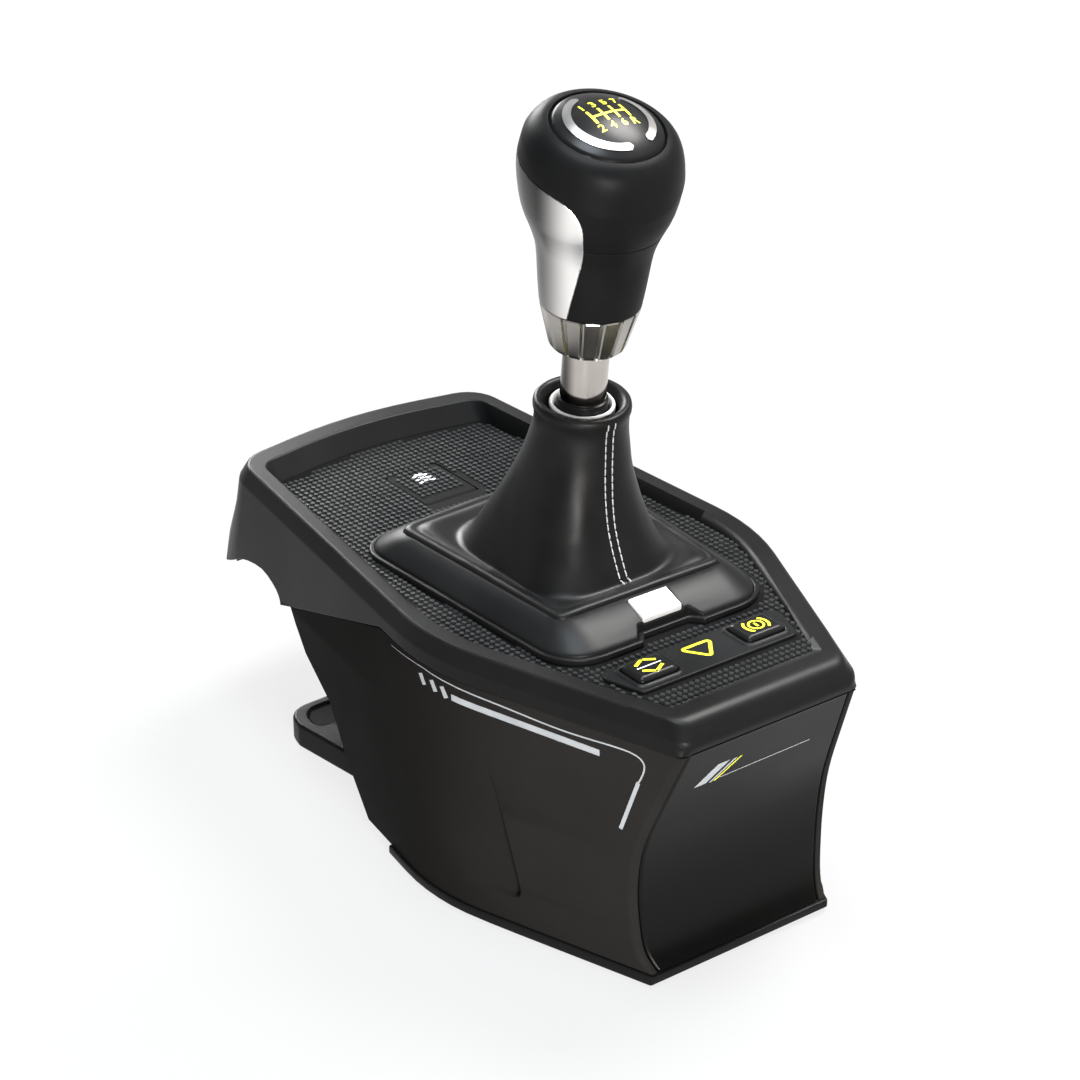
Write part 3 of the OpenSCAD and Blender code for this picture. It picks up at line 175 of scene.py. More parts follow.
# finishes: colour and its tint, size of the patches, roughness range, grain size and depth in mm;
# a fade is painted shade, darker towards one side: it has its direction, start and end in mm, and the share of the
# colour that is left at its start
finishLooks = {
    "shellPlastic": {"colour": (0.0055, 0.0054, 0.0054), "tint": (0.0074, 0.0073, 0.0073), "patch": 40,
                     "rough": (0.34, 0.44), "grain": 0.45, "depth": 0.010, "specular": 0.075},
    # painted light and shade: a lighter copy of the black shell plastic, darker towards the rear down to four tenths
    # of its colour
    "wallPlasticPaintedShade": {"colour": (0.0145, 0.0136, 0.0128), "tint": (0.017, 0.0161, 0.0153), "patch": 40,
                    "rough": (0.4, 0.5), "grain": 0.45, "depth": 0.010, "specular": 0.006,
                    "fade": ((0, -1, 0), -10, 85, 0.4)},
    # painted shade: darker towards the bottom of the front cover, down to about a third of its colour
    "frontPlasticPaintedShade": {"colour": (0.0042, 0.004, 0.0039), "tint": (0.0056, 0.0054, 0.0052), "patch": 40,
                     "rough": (0.34, 0.42), "grain": 0.45, "depth": 0.008, "specular": 0.12,
                     "fade": ((0, 0, 1), 25, 85, 0.35)},
    # painted shade: a dark copy of the black plastic for the ground between the studs and for the shadow along the
    # seams by the front cover
    "paintedShadePlastic": {"colour": (0.004, 0.004, 0.0041), "tint": (0.0055, 0.0055, 0.0057), "patch": 30,
                      "rough": (0.5, 0.6), "grain": 0.3, "depth": 0.006, "specular": 0.03},
    "deckPlastic": {"colour": (0.0085, 0.0087, 0.009), "tint": (0.0115, 0.0118, 0.012), "patch": 30,
                    "rough": (0.36, 0.46), "grain": 0.3, "depth": 0.008, "specular": 0.08},
    # painted sheen: a lighter copy of the deck plastic for the studs, as though their tops caught the light
    "studPlasticPaintedSheen": {"colour": (0.016, 0.0162, 0.0165), "tint": (0.0225, 0.0228, 0.0231), "patch": 9,
                    "rough": (0.36, 0.46), "grain": 0.3, "depth": 0.006, "specular": 0.1},
    "framePlastic": {"colour": (0.0062, 0.0063, 0.0065), "tint": (0.0084, 0.0086, 0.0088), "patch": 35,
                     "rough": (0.34, 0.44), "grain": 0.35, "depth": 0.006, "specular": 0.085},
    "glossPlastic": {"colour": (0.006, 0.006, 0.0062), "tint": (0.0085, 0.0085, 0.0088), "patch": 20,
                     "rough": (0.26, 0.36), "grain": 0.5, "depth": 0.003, "specular": 0.1},
    "softRubber": {"colour": (0.010, 0.010, 0.010), "tint": (0.015, 0.015, 0.015), "patch": 12,
                   "rough": (0.7, 0.85), "grain": 0.5, "depth": 0.03, "specular": 0.1},
    "bootLeather": {"colour": (0.0042, 0.0042, 0.0043), "tint": (0.006, 0.006, 0.0062), "patch": 14,
                    "rough": (0.36, 0.46), "grain": 0.75, "depth": 0.025, "cells": True, "specular": 0.12},
    "knobSkin": {"colour": (0.0048, 0.0049, 0.0051), "tint": (0.0067, 0.0068, 0.007), "patch": 18,
                 "rough": (0.38, 0.48), "grain": 0.4, "depth": 0.008, "specular": 0.045},
    "satinMetal": {"colour": (0.34, 0.33, 0.32), "tint": (0.42, 0.41, 0.40), "patch": 9,
                   "rough": (0.28, 0.36), "grain": 0.5, "depth": 0.003, "metal": 1, "stretch": (1, 1, 0.06)},
    # painted highlight: a far brighter copy of the satin metal, with painted shade darkening it towards the left and
    # rear, down to a twentieth
    "spineMetalPaintedSheen": {"colour": (0.90, 0.875, 0.855), "tint": (0.97, 0.945, 0.925), "patch": 9,
                   "rough": (0.28, 0.36), "grain": 0.5, "depth": 0.003, "metal": 1, "stretch": (1, 1, 0.06),
                   "fade": ((0.81, -0.58, 0), 0.5, 12, 0.05)},
    "brightTab": {"colour": (0.80, 0.80, 0.80), "tint": (0.86, 0.86, 0.86), "patch": 9,
                  "rough": (0.3, 0.4), "grain": 0.5, "depth": 0.003, "metal": 0.45},
    "collarMetal": {"colour": (0.34, 0.325, 0.30), "tint": (0.42, 0.40, 0.375), "patch": 12,
                    "rough": (0.2, 0.28), "grain": 1.2, "depth": 0.001, "metal": 1},
    # painted reflection and shade: the bright chrome is darkened on the shaft's left side, down to about an eighth
    "chromeMetalPaintedShade": {"colour": (0.46, 0.425, 0.395), "tint": (0.53, 0.49, 0.46), "patch": 12,
                    "rough": (0.08, 0.15), "grain": 1.2, "depth": 0.001, "metal": 1,
                    "fade": ((0.81, -0.58, 0), 9.5, 13.5, 0.12)},
    "steelMetal": {"colour": (0.38, 0.385, 0.39), "tint": (0.47, 0.475, 0.48), "patch": 10,
                   "rough": (0.28, 0.42), "grain": 0.6, "depth": 0.006, "metal": 1},
    "brassMetal": {"colour": (0.56, 0.40, 0.15), "tint": (0.66, 0.49, 0.2), "patch": 8,
                   "rough": (0.25, 0.4), "grain": 0.6, "depth": 0.004, "metal": 1},
    "boardGreen": {"colour": (0.012, 0.075, 0.035), "tint": (0.018, 0.1, 0.048), "patch": 5,
                   "rough": (0.32, 0.45), "grain": 0.9, "depth": 0.008},
    "silverPrint": {"colour": (0.27, 0.285, 0.30), "tint": (0.33, 0.345, 0.36), "patch": 6,
                    "rough": (0.4, 0.5), "grain": 0.4, "depth": 0.003},
    "yellowPrint": {"colour": (0.78, 0.72, 0.01), "tint": (0.86, 0.81, 0.02), "patch": 5,
                    "rough": (0.42, 0.52), "grain": 0.4, "depth": 0.003},
    "whitePrint": {"colour": (0.72, 0.73, 0.74), "tint": (0.82, 0.83, 0.84), "patch": 5,
                   "rough": (0.42, 0.52), "grain": 0.4, "depth": 0.003},
    "greyThread": {"colour": (0.30, 0.31, 0.32), "tint": (0.42, 0.43, 0.44), "patch": 1.5,
                   "rough": (0.6, 0.75), "grain": 0.2, "depth": 0.02},
}
patchLook = {"ends": (0.3, 0.7), "detail": 5, "grainDetail": 3, "bump": 0.6}


def makeFinish(name, look, patch):
    finish = bpy.data.materials.new(name)
    finish.use_nodes = True
    tree = finish.node_tree
    place = addNode(tree, "TexCoord", {}).outputs["Object"]
    stretch = addNode(tree, "Mapping", {"Vector": place, "Scale": look.get("stretch", (1, 1, 1))})
    spread = stretch.outputs["Vector"]
    patches = addNode(tree, "TexNoise", {"Vector": spread, "Scale": 1000 / look["patch"], "Detail": patch["detail"]})
    blotch = patches.outputs["Fac"]
    colours = addNode(tree, "ValToRGB", {"Fac": blotch})
    for end, share, tone in zip(colours.color_ramp.elements, patch["ends"], (look["colour"], look["tint"])):
        end.position = share
        end.color = (*tone, 1)
    colour = colours.outputs["Color"]
    if look.get("fade"):                                # painted shade: darker towards one side
        way, low, high, dark = look["fade"]
        side = addNode(tree, "VectorMath", {0: place, 1: way}, operation="DOT_PRODUCT")
        limits = {"From Min": low * mm, "From Max": high * mm, "To Min": dark}
        share = addNode(tree, "MapRange", {"Value": side.outputs["Value"], **limits}, interpolation_type="SMOOTHSTEP")
        paintedShadeColour = addNode(tree, "VectorMath", {0: colour, "Scale": share.outputs["Result"]}, operation="SCALE")
        colour = paintedShadeColour.outputs["Vector"]
    limits = dict(zip(("From Min", "From Max", "To Min", "To Max"), patch["ends"] + look["rough"]))
    shine = addNode(tree, "MapRange", {"Value": blotch, **limits})
    fine = {"Vector": spread, "Scale": 1000 / look["grain"]}
    if look.get("cells"):                               # pebbled hide
        height = addNode(tree, "TexVoronoi", fine, feature="SMOOTH_F1").outputs["Distance"]
    else:
        height = addNode(tree, "TexNoise", {**fine, "Detail": patch["grainDetail"]}).outputs["Fac"]
    bump = addNode(tree, "Bump", {"Height": height, "Strength": patch["bump"], "Distance": look["depth"] * mm},
                   invert=bool(look.get("cells")))
    feed(tree, tree.nodes["Principled BSDF"], {
        "Base Color": colour, "Roughness": shine.outputs["Result"], "Normal": bump.outputs["Normal"],
        "Metallic": look.get("metal", 0), "Specular IOR Level": look.get("specular", 0.5)})
    return finish


finishes = {name: makeFinish(name, look, patchLook) for name, look in finishLooks.items()}
print("finishes made:", len(finishes))


# small helpers for the pieces
meshLook = {"weld": 0.005, "poleWeld": 0.002, "spinSteps": 96, "edgeRoom": 1.15, "printSharp": 60, "rayBack": 60}


def smoothStep(t):
    t = min(max(t, 0), 1)
    return t * t * (3 - 2 * t)


def shares(count):                                      # even steps from 0 to 1
    return [k / count for k in range(count + 1)]


def turnsRound(count):                                  # even angles round a circle
    return [k * math.tau / count for k in range(count)]


def between(a, b, count):                               # points from a to b
    return [a.lerp(b, t) for t in shares(count)]


def sideName(side, rest):
    return ("left" if side < 0 else "right") + rest


def everything(bm):
    return bm.verts[:] + bm.edges[:] + bm.faces[:]


def edgeMiddle(edge):
    return (edge.verts[0].co + edge.verts[1].co) / 2 / mm


def copyNode(node, flat=1.0):                           # a merged copy of a CAD node, flat faces joined
    bm = bmesh.new()
    bm.from_mesh(nodes[node].data)
    bmesh.ops.remove_doubles(bm, verts=bm.verts, dist=meshLook["weld"] * mm)
    bmesh.ops.dissolve_limit(bm, angle_limit=math.radians(flat), verts=bm.verts, edges=bm.edges)
    return bm


def hasRoom(edge, width):                               # both faces reach far enough from the edge
    a, b = (v.co for v in edge.verts)
    along = (b - a).normalized()
    for face in edge.link_faces:
        reach = max(((v.co - a) - along * (v.co - a).dot(along)).length for v in face.verts)
        if reach < width * mm * meshLook["edgeRoom"]:
            return False
    return True


def softenEdges(bm, width, segments, angle, where=None):
    bm.normal_update()
    edges = [e for e in bm.edges if len(e.link_faces) == 2 and e.calc_face_angle(0) > math.radians(angle)
             and hasRoom(e, width) and (where is None or where(e))]
    bmesh.ops.bevel(bm, geom=edges, offset=width * mm, offset_type="OFFSET", affect="EDGES", segments=segments,
                    profile=0.5, material=-1, clamp_overlap=False, loop_slide=True)


def cutAcross(bm, place, normal):
    bmesh.ops.bisect_plane(bm, geom=everything(bm), plane_co=place, plane_no=normal)


def splitLarge(bm):                                     # faces of many corners into triangles
    bmesh.ops.triangulate(bm, faces=[f for f in bm.faces if len(f.verts) > 4])


def finishPiece(name, bm, finish, body, slotName, stands=(), sharp=38, flatFaces=False):
    bm.normal_update()
    for face in bm.faces:
        face.smooth = True
    for e in bm.edges:
        e.smooth = len(e.link_faces) == 2 and e.calc_face_angle(0) < math.radians(sharp)
    mesh = bpy.data.meshes.new(name)
    bm.to_mesh(mesh)
    bm.free()
    if "custom_normal" in mesh.attributes:
        mesh.attributes.remove(mesh.attributes["custom_normal"])
    mesh.materials.clear()
    mesh.materials.append(finishes[finish])
    piece = bpy.data.objects.new(name, mesh)
    scene.collection.objects.link(piece)
    if body:
        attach(piece, body)
    if stands:
        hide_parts(*stands)
    if flatFaces:
        piece.modifiers.new("evenNormals", "WEIGHTED_NORMAL").keep_sharp = True
    return piece


def printAndShadowPiece(name, bm, finish, body, slotName):
    return finishPiece(name, bm, finish, body, slotName, sharp=meshLook["printSharp"])


def plainCopy(name, node, finish, body, slotName, width, segments, angle, narrow=0):
    bm = copyNode(node)
    half = max(v.co.x for v in bm.verts)
    bmesh.ops.scale(bm, verts=bm.verts, vec=(1 - narrow * mm / half, 1, 1))  # leaves a gap at both sides
    softenEdges(bm, width, segments, angle)
    return finishPiece(name, bm, finish, body, slotName, [node], flatFaces=True)


def spinProfile(profile, space):                        # profile: radius and height in mm
    bm = bmesh.new()
    verts = [bm.verts.new((r * mm, 0, h * mm)) for r, h in profile]
    edges = [bm.edges.new(pair) for pair in zip(verts, verts[1:])]
    bmesh.ops.spin(bm, geom=verts + edges, axis=(0, 0, 1), cent=(0, 0, 0), angle=math.tau,
                   steps=meshLook["spinSteps"], use_merge=True)
    bmesh.ops.remove_doubles(bm, verts=bm.verts, dist=meshLook["poleWeld"] * mm)
    bmesh.ops.recalc_face_normals(bm, faces=bm.faces)
    bm.transform(space)
    return bm


def rowPairs(row, closed):
    return zip(row, row[1:] + (row[:1] if closed else []))


def addRow(bm, row, places, closed=True):               # first row of a surface, or one extruded from the last
    if row is None:
        row = [bm.verts.new(p) for p in places]
        for pair in rowPairs(row, closed):
            bm.edges.new(pair)
        return row
    edges = [bm.edges.get(pair) for pair in rowPairs(row, closed)]
    made = bmesh.ops.extrude_edge_only(bm, edges=edges)["geom"]
    fresh = {g for g in made if isinstance(g, bmesh.types.BMVert)}
    above = [next(e.other_vert(v) for e in v.link_edges if e.other_vert(v) in fresh) for v in row]
    for v, p in zip(above, places):
        v.co = p
    return above


def throughPoints(points, steps):                       # smooth curve through points
    points = [Vector(p) for p in points]
    curve = []
    for i in range(len(points) - 1):
        a, b = points[max(i - 1, 0)], points[i]
        c, d = points[i + 1], points[min(i + 2, len(points) - 1)]
        for k in range(steps):
            t = k / steps
            curve.append(0.5 * (2 * b + (c - a) * t + (2 * a - 5 * b + 4 * c - d) * t * t
                                + (3 * b - a - 3 * c + d) * t ** 3))
    return curve + [points[-1]]


def treeOf(*pieces):                                    # for rays onto pieces, with the owner of each face
    verts, faces, owners = [], [], []
    for piece in pieces:
        start = len(verts)
        verts += [v.co.copy() for v in piece.data.vertices]
        faces += [[start + i for i in f.vertices] for f in piece.data.polygons]
        owners += [piece.name] * len(piece.data.polygons)
    return BVHTree.FromPolygons(verts, faces), owners


def dropOn(tree, place, aim, lift):                     # where a ray meets a surface
    spot, normal, _, _ = tree.ray_cast(place - aim * meshLook["rayBack"] * mm, aim)
    if spot is None:
        return None
    return spot + (normal if normal.dot(aim) < 0 else -normal) * lift * mm


def printAndShadowStrip(bm, path, widths, tree, aim, lift=0.08, slant=None):  # a strip laid on a surface: printed marks, and the painted shadow along the seams
    aim = Vector(aim).normalized()
    row = None
    for i, p in enumerate(path):
        ahead = path[min(i + 1, len(path) - 1)] - path[max(i - 1, 0)]
        across = Vector(slant) if slant else ahead.cross(aim).normalized()
        across = across * widths[min(i, len(widths) - 1)] * mm / 2
        ends = [dropOn(tree, p + s * across, aim, lift) for s in (-1, 1)]
        row = None if None in ends else addRow(bm, row, ends, False)


# housing: copies of the solids with rounded edges
housingLook = {
    "wallFront": (1.9, 5, 40), "wallRound": (0.7, 3, 40),  # rounding, its segments, least angle of an edge
    "frontFrom": -88, "outward": 0.6, "forward": -0.8,  # a wall's outer front edge: its place and its two faces
    # node, finish, body, slot, rounding, its segments, least angle of an edge, gap at the sides
    "frontCover": ("front_panel", "frontPlasticPaintedShade", "base", "shell_black", 0.9, 3, 40, 0.5),
    "basePlate": ("base_plate", "shellPlastic", "base", "shell_black", 0.7, 2, 40),
    "clampJaw": ("clamp_jaw", "shellPlastic", "jaw", "shell_black", 1.3, 3, 40),
}

# hollow pressed into each wall: y and z along its front and rear lines, and how it starts and ends
scoopLook = {
    "deep": 3.0, "line": ((-59.5, 60.0), (-67.3, 23.2)), "low": 14.5, "corner": 5, "edge": 1.3, "start": 0.15,
    "rear": ((-8.7, 49.2), (-41.6, 18.6)), "ramp": 8, "top": 66, "fade": 34,
    "cuts": (-0.3, 0.1, 0.5, 0.9, 1.4, 2.2, 3.4, 5, 8, 12, 17, 23, 30, 38, 46),
    "levels": (14.1, 14.5, 14.9, 15.4, 16, 17, 18.5, 21, 24, 28, 32, 36, 40, 44, 48, 52, 56, 60, 64, 68),
}


def scoopDepth(look, y, z):                             # how far the wall is pressed in at a place
    top, low = (Vector(p) for p in look["line"])
    along = (low - top).normalized()
    place = Vector((y, z)) - low
    behind = place.dot(Vector((-along.y, along.x)))
    above = z - look["low"]
    r = look["corner"]
    edge = min(behind, above)
    if behind < r and above < r:
        edge = r - Vector((r - behind, r - above)).length
    rearTop, rearLow = (Vector(p) for p in look["rear"])
    rear = rearLow.x + (z - rearLow.y) * (rearTop.x - rearLow.x) / (rearTop.y - rearLow.y)
    ramp = smoothStep((rear - y) / max(rear - y + behind, look["ramp"]))
    wall = smoothStep(edge / look["edge"] + look["start"])
    return look["deep"] * wall * ramp * smoothStep((look["top"] - z) / look["fade"])


def sidePanel(side, look, scoop):
    name = sideName(side, "_side_panel")
    bm = copyNode(name)

    def isFront(e):                                     # the outer edge along the front
        normals = [f.normal for f in e.link_faces]
        return (edgeMiddle(e).y < look["frontFrom"] and any(n.x * side > look["outward"] for n in normals)
                and any(n.y < look["forward"] for n in normals))

    softenEdges(bm, *look["wallFront"], isFront)
    softenEdges(bm, *look["wallRound"])
    top, low = (Vector((0, *p)) * mm for p in scoop["line"])
    line = (low - top).normalized()
    across = Vector((0, -line.z, line.y))
    for d in scoop["cuts"]:                             # along the scoop's front line and over its floor
        cutAcross(bm, low + across * d * mm, across)
    for z in scoop["levels"]:
        cutAcross(bm, (0, 0, z * mm), (0, 0, 1))
    for v in bm.verts:
        v.co.x -= side * scoopDepth(scoop, v.co.y / mm, v.co.z / mm) * mm
    splitLarge(bm)
    return finishPiece(sideName(side, "Wall"), bm, "wallPlasticPaintedShade", "base", "shell_black", [name], sharp=30)


# front of the rim: where it begins, its direction and front, then sections at the side and at the front
noseLook = {
    "foot": (42.43, -104), "arm": (-0.366, -0.931), "front": -124.585,
    "side": ((14.5, 90.62), (-0.37, 90.62), (0, 95.4), (3.01, 100.4), (8.75, 100.4), (11.0, 99.26), (11.0, 96.2)),
    "nose": ((18.6, 90.61), (0.385, 90.5), (-0.915, 94.13), (4.235, 100.4), (11.755, 100.4), (15.085, 99.41),
             (15.085, 96.35)),
    "sideRound": (0.45, 0.45, 1.1, 0.3, 0.45), "noseRound": (0.5, 1.9, 3.4, 0.9, 0.45), "cornerSteps": 6,
    "planRound": (2.2, 2.4, 4.6, 4.4, 1.6, 1.5, 1.5), "planSteps": 10, "rise": (1.6, 0.6),
}


def noseFoot(look, way):                                # where the nose begins, and the way to the front
    foot, arm = (Vector((p[0] * way, p[1], 0)) for p in (look["foot"], look["arm"]))
    return foot * mm, arm.normalized()


def roundLine(points, cuts, steps):                     # a line with each inner corner turned into a curve
    line, most = [points[0]], 0.49                      # the share of a side that one curve may take
    for before, corner, after, cut in zip(points, points[1:], points[2:], cuts):
        a, b = (corner + (end - corner).normalized() * min(cut, (end - corner).length * most)
                for end in (before, after))
        line += [a * (1 - t) ** 2 + corner * 2 * t * (1 - t) + b * t * t for t in shares(steps)]
    return line + [points[-1]]


def shellNose(look):                                    # front of the rim, with rounded corners
    steps = look["cornerSteps"]
    sides = roundLine([Vector(p) for p in look["side"]], look["sideRound"], steps)
    fronts = roundLine([Vector(p) for p in look["nose"]], look["noseRound"], steps)
    flat = look["planRound"]
    plan = [flat[0]] + [c for c in flat[1:-1] for _ in range(steps + 1)] + [flat[-1]]
    rise, late = look["rise"]
    bm, row = bmesh.new(), None
    for side, front, cut in zip(sides, fronts, plan):
        ends = []
        for way in (-1, 1):
            foot, arm = noseFoot(look, way)
            start = foot / mm + Vector((side.x / arm.y * way, 0, 0))
            reach = (look["front"] + front.x - start.y) / arm.y
            ends.append((start, start + arm * reach))
        (left, leftTurn), (right, rightTurn) = ends
        places = []
        for p in roundLine([left, leftTurn, rightTurn, right], (cut, cut), look["planSteps"]):
            share = smoothStep((left.y - p.y) / (left.y - leftTurn.y) * rise - late)
            places.append(Vector((p.x, p.y, side.y + (front.y - side.y) * share)) * mm)
        row = addRow(bm, row, places, False)
    bmesh.ops.recalc_face_normals(bm, faces=bm.faces)
    return finishPiece("shellNose", bm, "shellPlastic", "base", "shell_black", sharp=32)


# rim behind the nose: rounding of its top and of the rest, which edges get it, and the swelling of the lip
rimLook = {
    "rimRound": 1.1, "shellRound": 0.45, "segments": 5, "leastAngle": 20, "leastRound": 0.1, "slide": 0.8,
    "rimHeight": 99, "middle": -10, "innerFrom": 20,
    "lipFlare": 3.2, "lipCuts": (64, 69, 74, 79, 84, 89), "lipBehind": (104, 9), "lipBelow": (92, 27),
}


def endRoom(edge):                                      # shortest neighbour that a rounded edge may slide along
    own = set(edge.verts)
    beside = {e for f in edge.link_faces for e in f.edges if e is not edge and own & set(e.verts)}
    return min(e.calc_length() for e in beside) / mm


def topShell(look):
    bm = copyNode("top_shell")
    splitLarge(bm)
    bmesh.ops.bisect_plane(bm, geom=everything(bm), plane_co=noseFoot(noseLook, 1)[0], plane_no=(0, -1, 0),
                           clear_outer=True)            # the nose is a piece of its own
    bmesh.ops.dissolve_limit(bm, angle_limit=math.radians(1), verts=bm.verts, edges=bm.edges)
    bm.normal_update()
    weight = bm.edges.layers.float.new("bevel_weight_edge")
    for e in bm.edges:
        if len(e.link_faces) != 2 or e.calc_face_angle(0) < math.radians(look["leastAngle"]):
            continue
        place = edgeMiddle(e)
        facing = e.link_faces[0].normal + e.link_faces[1].normal
        outer = facing.x * place.x + facing.y * (place.y - look["middle"]) > 0
        if not outer and place.y < look["innerFrom"]:   # the inner slopes are narrow there
            continue
        width = look["rimRound"] if outer and place.z > look["rimHeight"] else look["shellRound"]
        width = min(width, endRoom(e) * look["slide"])
        if width > look["leastRound"] and hasRoom(e, width):
            e[weight] = width / look["rimRound"]
    for z in look["lipCuts"]:
        cutAcross(bm, (0, 0, z * mm), (0, 0, 1))
    (back, backRun), (low, lowRun) = look["lipBehind"], look["lipBelow"]
    for v in bm.verts:                                  # the lip swells out behind
        share = smoothStep((v.co.y / mm - back) / backRun) * smoothStep((low - v.co.z / mm) / lowRun)
        v.co.y += look["lipFlare"] * mm * share
    piece = finishPiece("topShell", bm, "shellPlastic", "base", "shell_black", ["top_shell"], sharp=180)
    rounding = piece.modifiers.new("roundEdges", "BEVEL")
    rounding.limit_method = "WEIGHT"
    rounding.width = look["rimRound"] * mm
    rounding.segments = look["segments"]
    rounding.use_clamp_overlap = False
    piece.modifiers.new("evenNormals", "WEIGHTED_NORMAL").keep_sharp = True
    return piece


# painted shadow: a dark strip laid along the gap where a wall meets the front cover: its heights, then where and how
# the wall is looked for
seamShadowLook = {"low": 18, "tall": 70, "rows": 48, "wide": 2.2, "lift": 0.04, "shift": 0.8,
            "from": 28, "step": 0.1, "tries": 160, "away": -300}


def seamShadow(side, wall, look):
    tree, owners = treeOf(frontCover, wall)
    line, away = [], look["away"] * mm
    for k in range(look["rows"] + 1):
        z = (look["low"] + look["tall"] * k / look["rows"]) * mm
        for j in range(look["tries"]):                  # outwards until the wall is met
            x = side * (look["from"] + j * look["step"]) * mm
            face = tree.ray_cast(Vector((x, away, z)), Vector((0, 1, 0)))[2]
            if face is not None and owners[face] == wall.name:
                line.append(Vector((x + side * look["shift"] * mm, away, z)))
                break
    bm = bmesh.new()
    printAndShadowStrip(bm, line, [look["wide"]], tree, (0, 1, 0), look["lift"], slant=(1, 0, 0))
    return printAndShadowPiece(sideName(side, "Seam"), bm, "paintedShadePlastic", "base", "shell_black")


walls = [sidePanel(side, housingLook, scoopLook) for side in (-1, 1)]
topShell(rimLook)
shellNose(noseLook)
frontCover, _, _ = (plainCopy(name, *housingLook[name]) for name in ("frontCover", "basePlate", "clampJaw"))
for side, wall in zip((-1, 1), walls):
    seamShadow(side, wall, seamShadowLook)
print("housing made")


# deck: small raised diamonds over the panel and the flap
deckLook = {
    "pitch": (2.24, 2.64), "foot": 1.1, "crown": 0.84, "height": 0.45, "low": (-59.4, -111.1), "doublings": (6, 7),
    "clear": 1.45, "from": -200, "probes": 8, "above": 80, "upright": 0.9,
    "seen": ("deck_panel", "access_door", "boot_frame", "frame_trim", "frame_tab", "button_plate", "top_shell",
             "boot"),
}
flapLook = {**deckLook, "clear": 1.35, "from": 53}      # clear of the hinge


def studField(look):
    bm = bmesh.new()
    bmesh.ops.create_cone(bm, cap_ends=True, segments=4, radius1=look["foot"] * mm, radius2=look["crown"] * mm,
                          depth=look["height"] * mm)
    across, along = look["pitch"]
    bmesh.ops.scale(bm, verts=bm.verts, vec=(1, along / across, 1))
    bmesh.ops.translate(bm, verts=bm.verts, vec=Vector((*look["low"], look["height"] / 2)) * mm)
    bmesh.ops.delete(bm, geom=[f for f in bm.faces if f.normal.z < -look["upright"]], context="FACES_ONLY")
    for step, times in zip((Vector((across, 0, 0)), Vector((0, along, 0))), look["doublings"]):
        for k in range(times):
            made = bmesh.ops.duplicate(bm, geom=everything(bm))["geom"]
            fresh = [g for g in made if isinstance(g, bmesh.types.BMVert)]
            bmesh.ops.translate(bm, verts=fresh, vec=step * 2 ** k * mm)
    return bm


def studsOn(name, node, other, body, look):
    bm = studField(look)
    tree, owners = treeOf(*[nodes[n] for n in look["seen"]])
    around = [Vector((math.cos(a), math.sin(a), 0)) * look["clear"] * mm for a in turnsRound(look["probes"])]

    def onTop(spot):                                    # the node that a ray from above meets first
        hit = tree.ray_cast(deckSpace @ Vector((spot.x, spot.y, look["above"] * mm)), Vector((0, 0, -1)))[2]
        return None if hit is None else owners[hit]

    def isFree(spot):                                   # on this node, and clear of the other one
        if (deckSpace @ spot).y / mm < look["from"] or onTop(spot) != nodes[node].name:
            return False
        return all(onTop(spot + step) not in (nodes[other].name, None) for step in around)

    lost = []
    for face in [f for f in bm.faces if f.normal.z > look["upright"]]:
        if not isFree(face.calc_center_median()):
            lost += [v for side in {f for e in face.edges for f in e.link_faces} for v in side.verts]
    bmesh.ops.delete(bm, geom=list(set(lost)), context="VERTS")
    bm.transform(deckSpace)
    # painted sheen: the studs take the lighter stud plastic
    return finishPiece(name, bm, "studPlasticPaintedSheen", body, "deck_black", sharp=5)


studs = studsOn("deckStuds", "deck_panel", "access_door", "base", deckLook)
flapStuds = studsOn("flapStuds", "access_door", "deck_panel", "door", flapLook)
print("studs:", len(studs.data.polygons), len(flapStuds.data.polygons))

# node, finish, body, slot, rounding, its segments, least angle of an edge
deckPieces = {
    "bootFrame": ("boot_frame", "framePlastic", "base", "deck_black", 0.7, 3, 30),
    "frameTrim": ("frame_trim", "glossPlastic", "base", "shell_black", 0.55, 3, 40),
    "frameTab": ("frame_tab", "brightTab", "base", "satin_metal", 0.7, 4, 30),
    "buttonIsland": ("button_plate", "framePlastic", "base", "shell_black", 0.4, 3, 40),
    "rangeButton": ("range_button", "glossPlastic", "range_button", "shell_black", 0.5, 3, 30),
    "brakeButton": ("brake_button", "glossPlastic", "brake_button", "shell_black", 0.5, 3, 30),
    # painted shade: the flap is dark between its studs
    "screwFlap": ("access_door", "paintedShadePlastic", "door", "deck_black", 0.35, 2, 40),
}
onDeckMade = {name: plainCopy(name, *look) for name, look in deckPieces.items()}
print("deck pieces made")


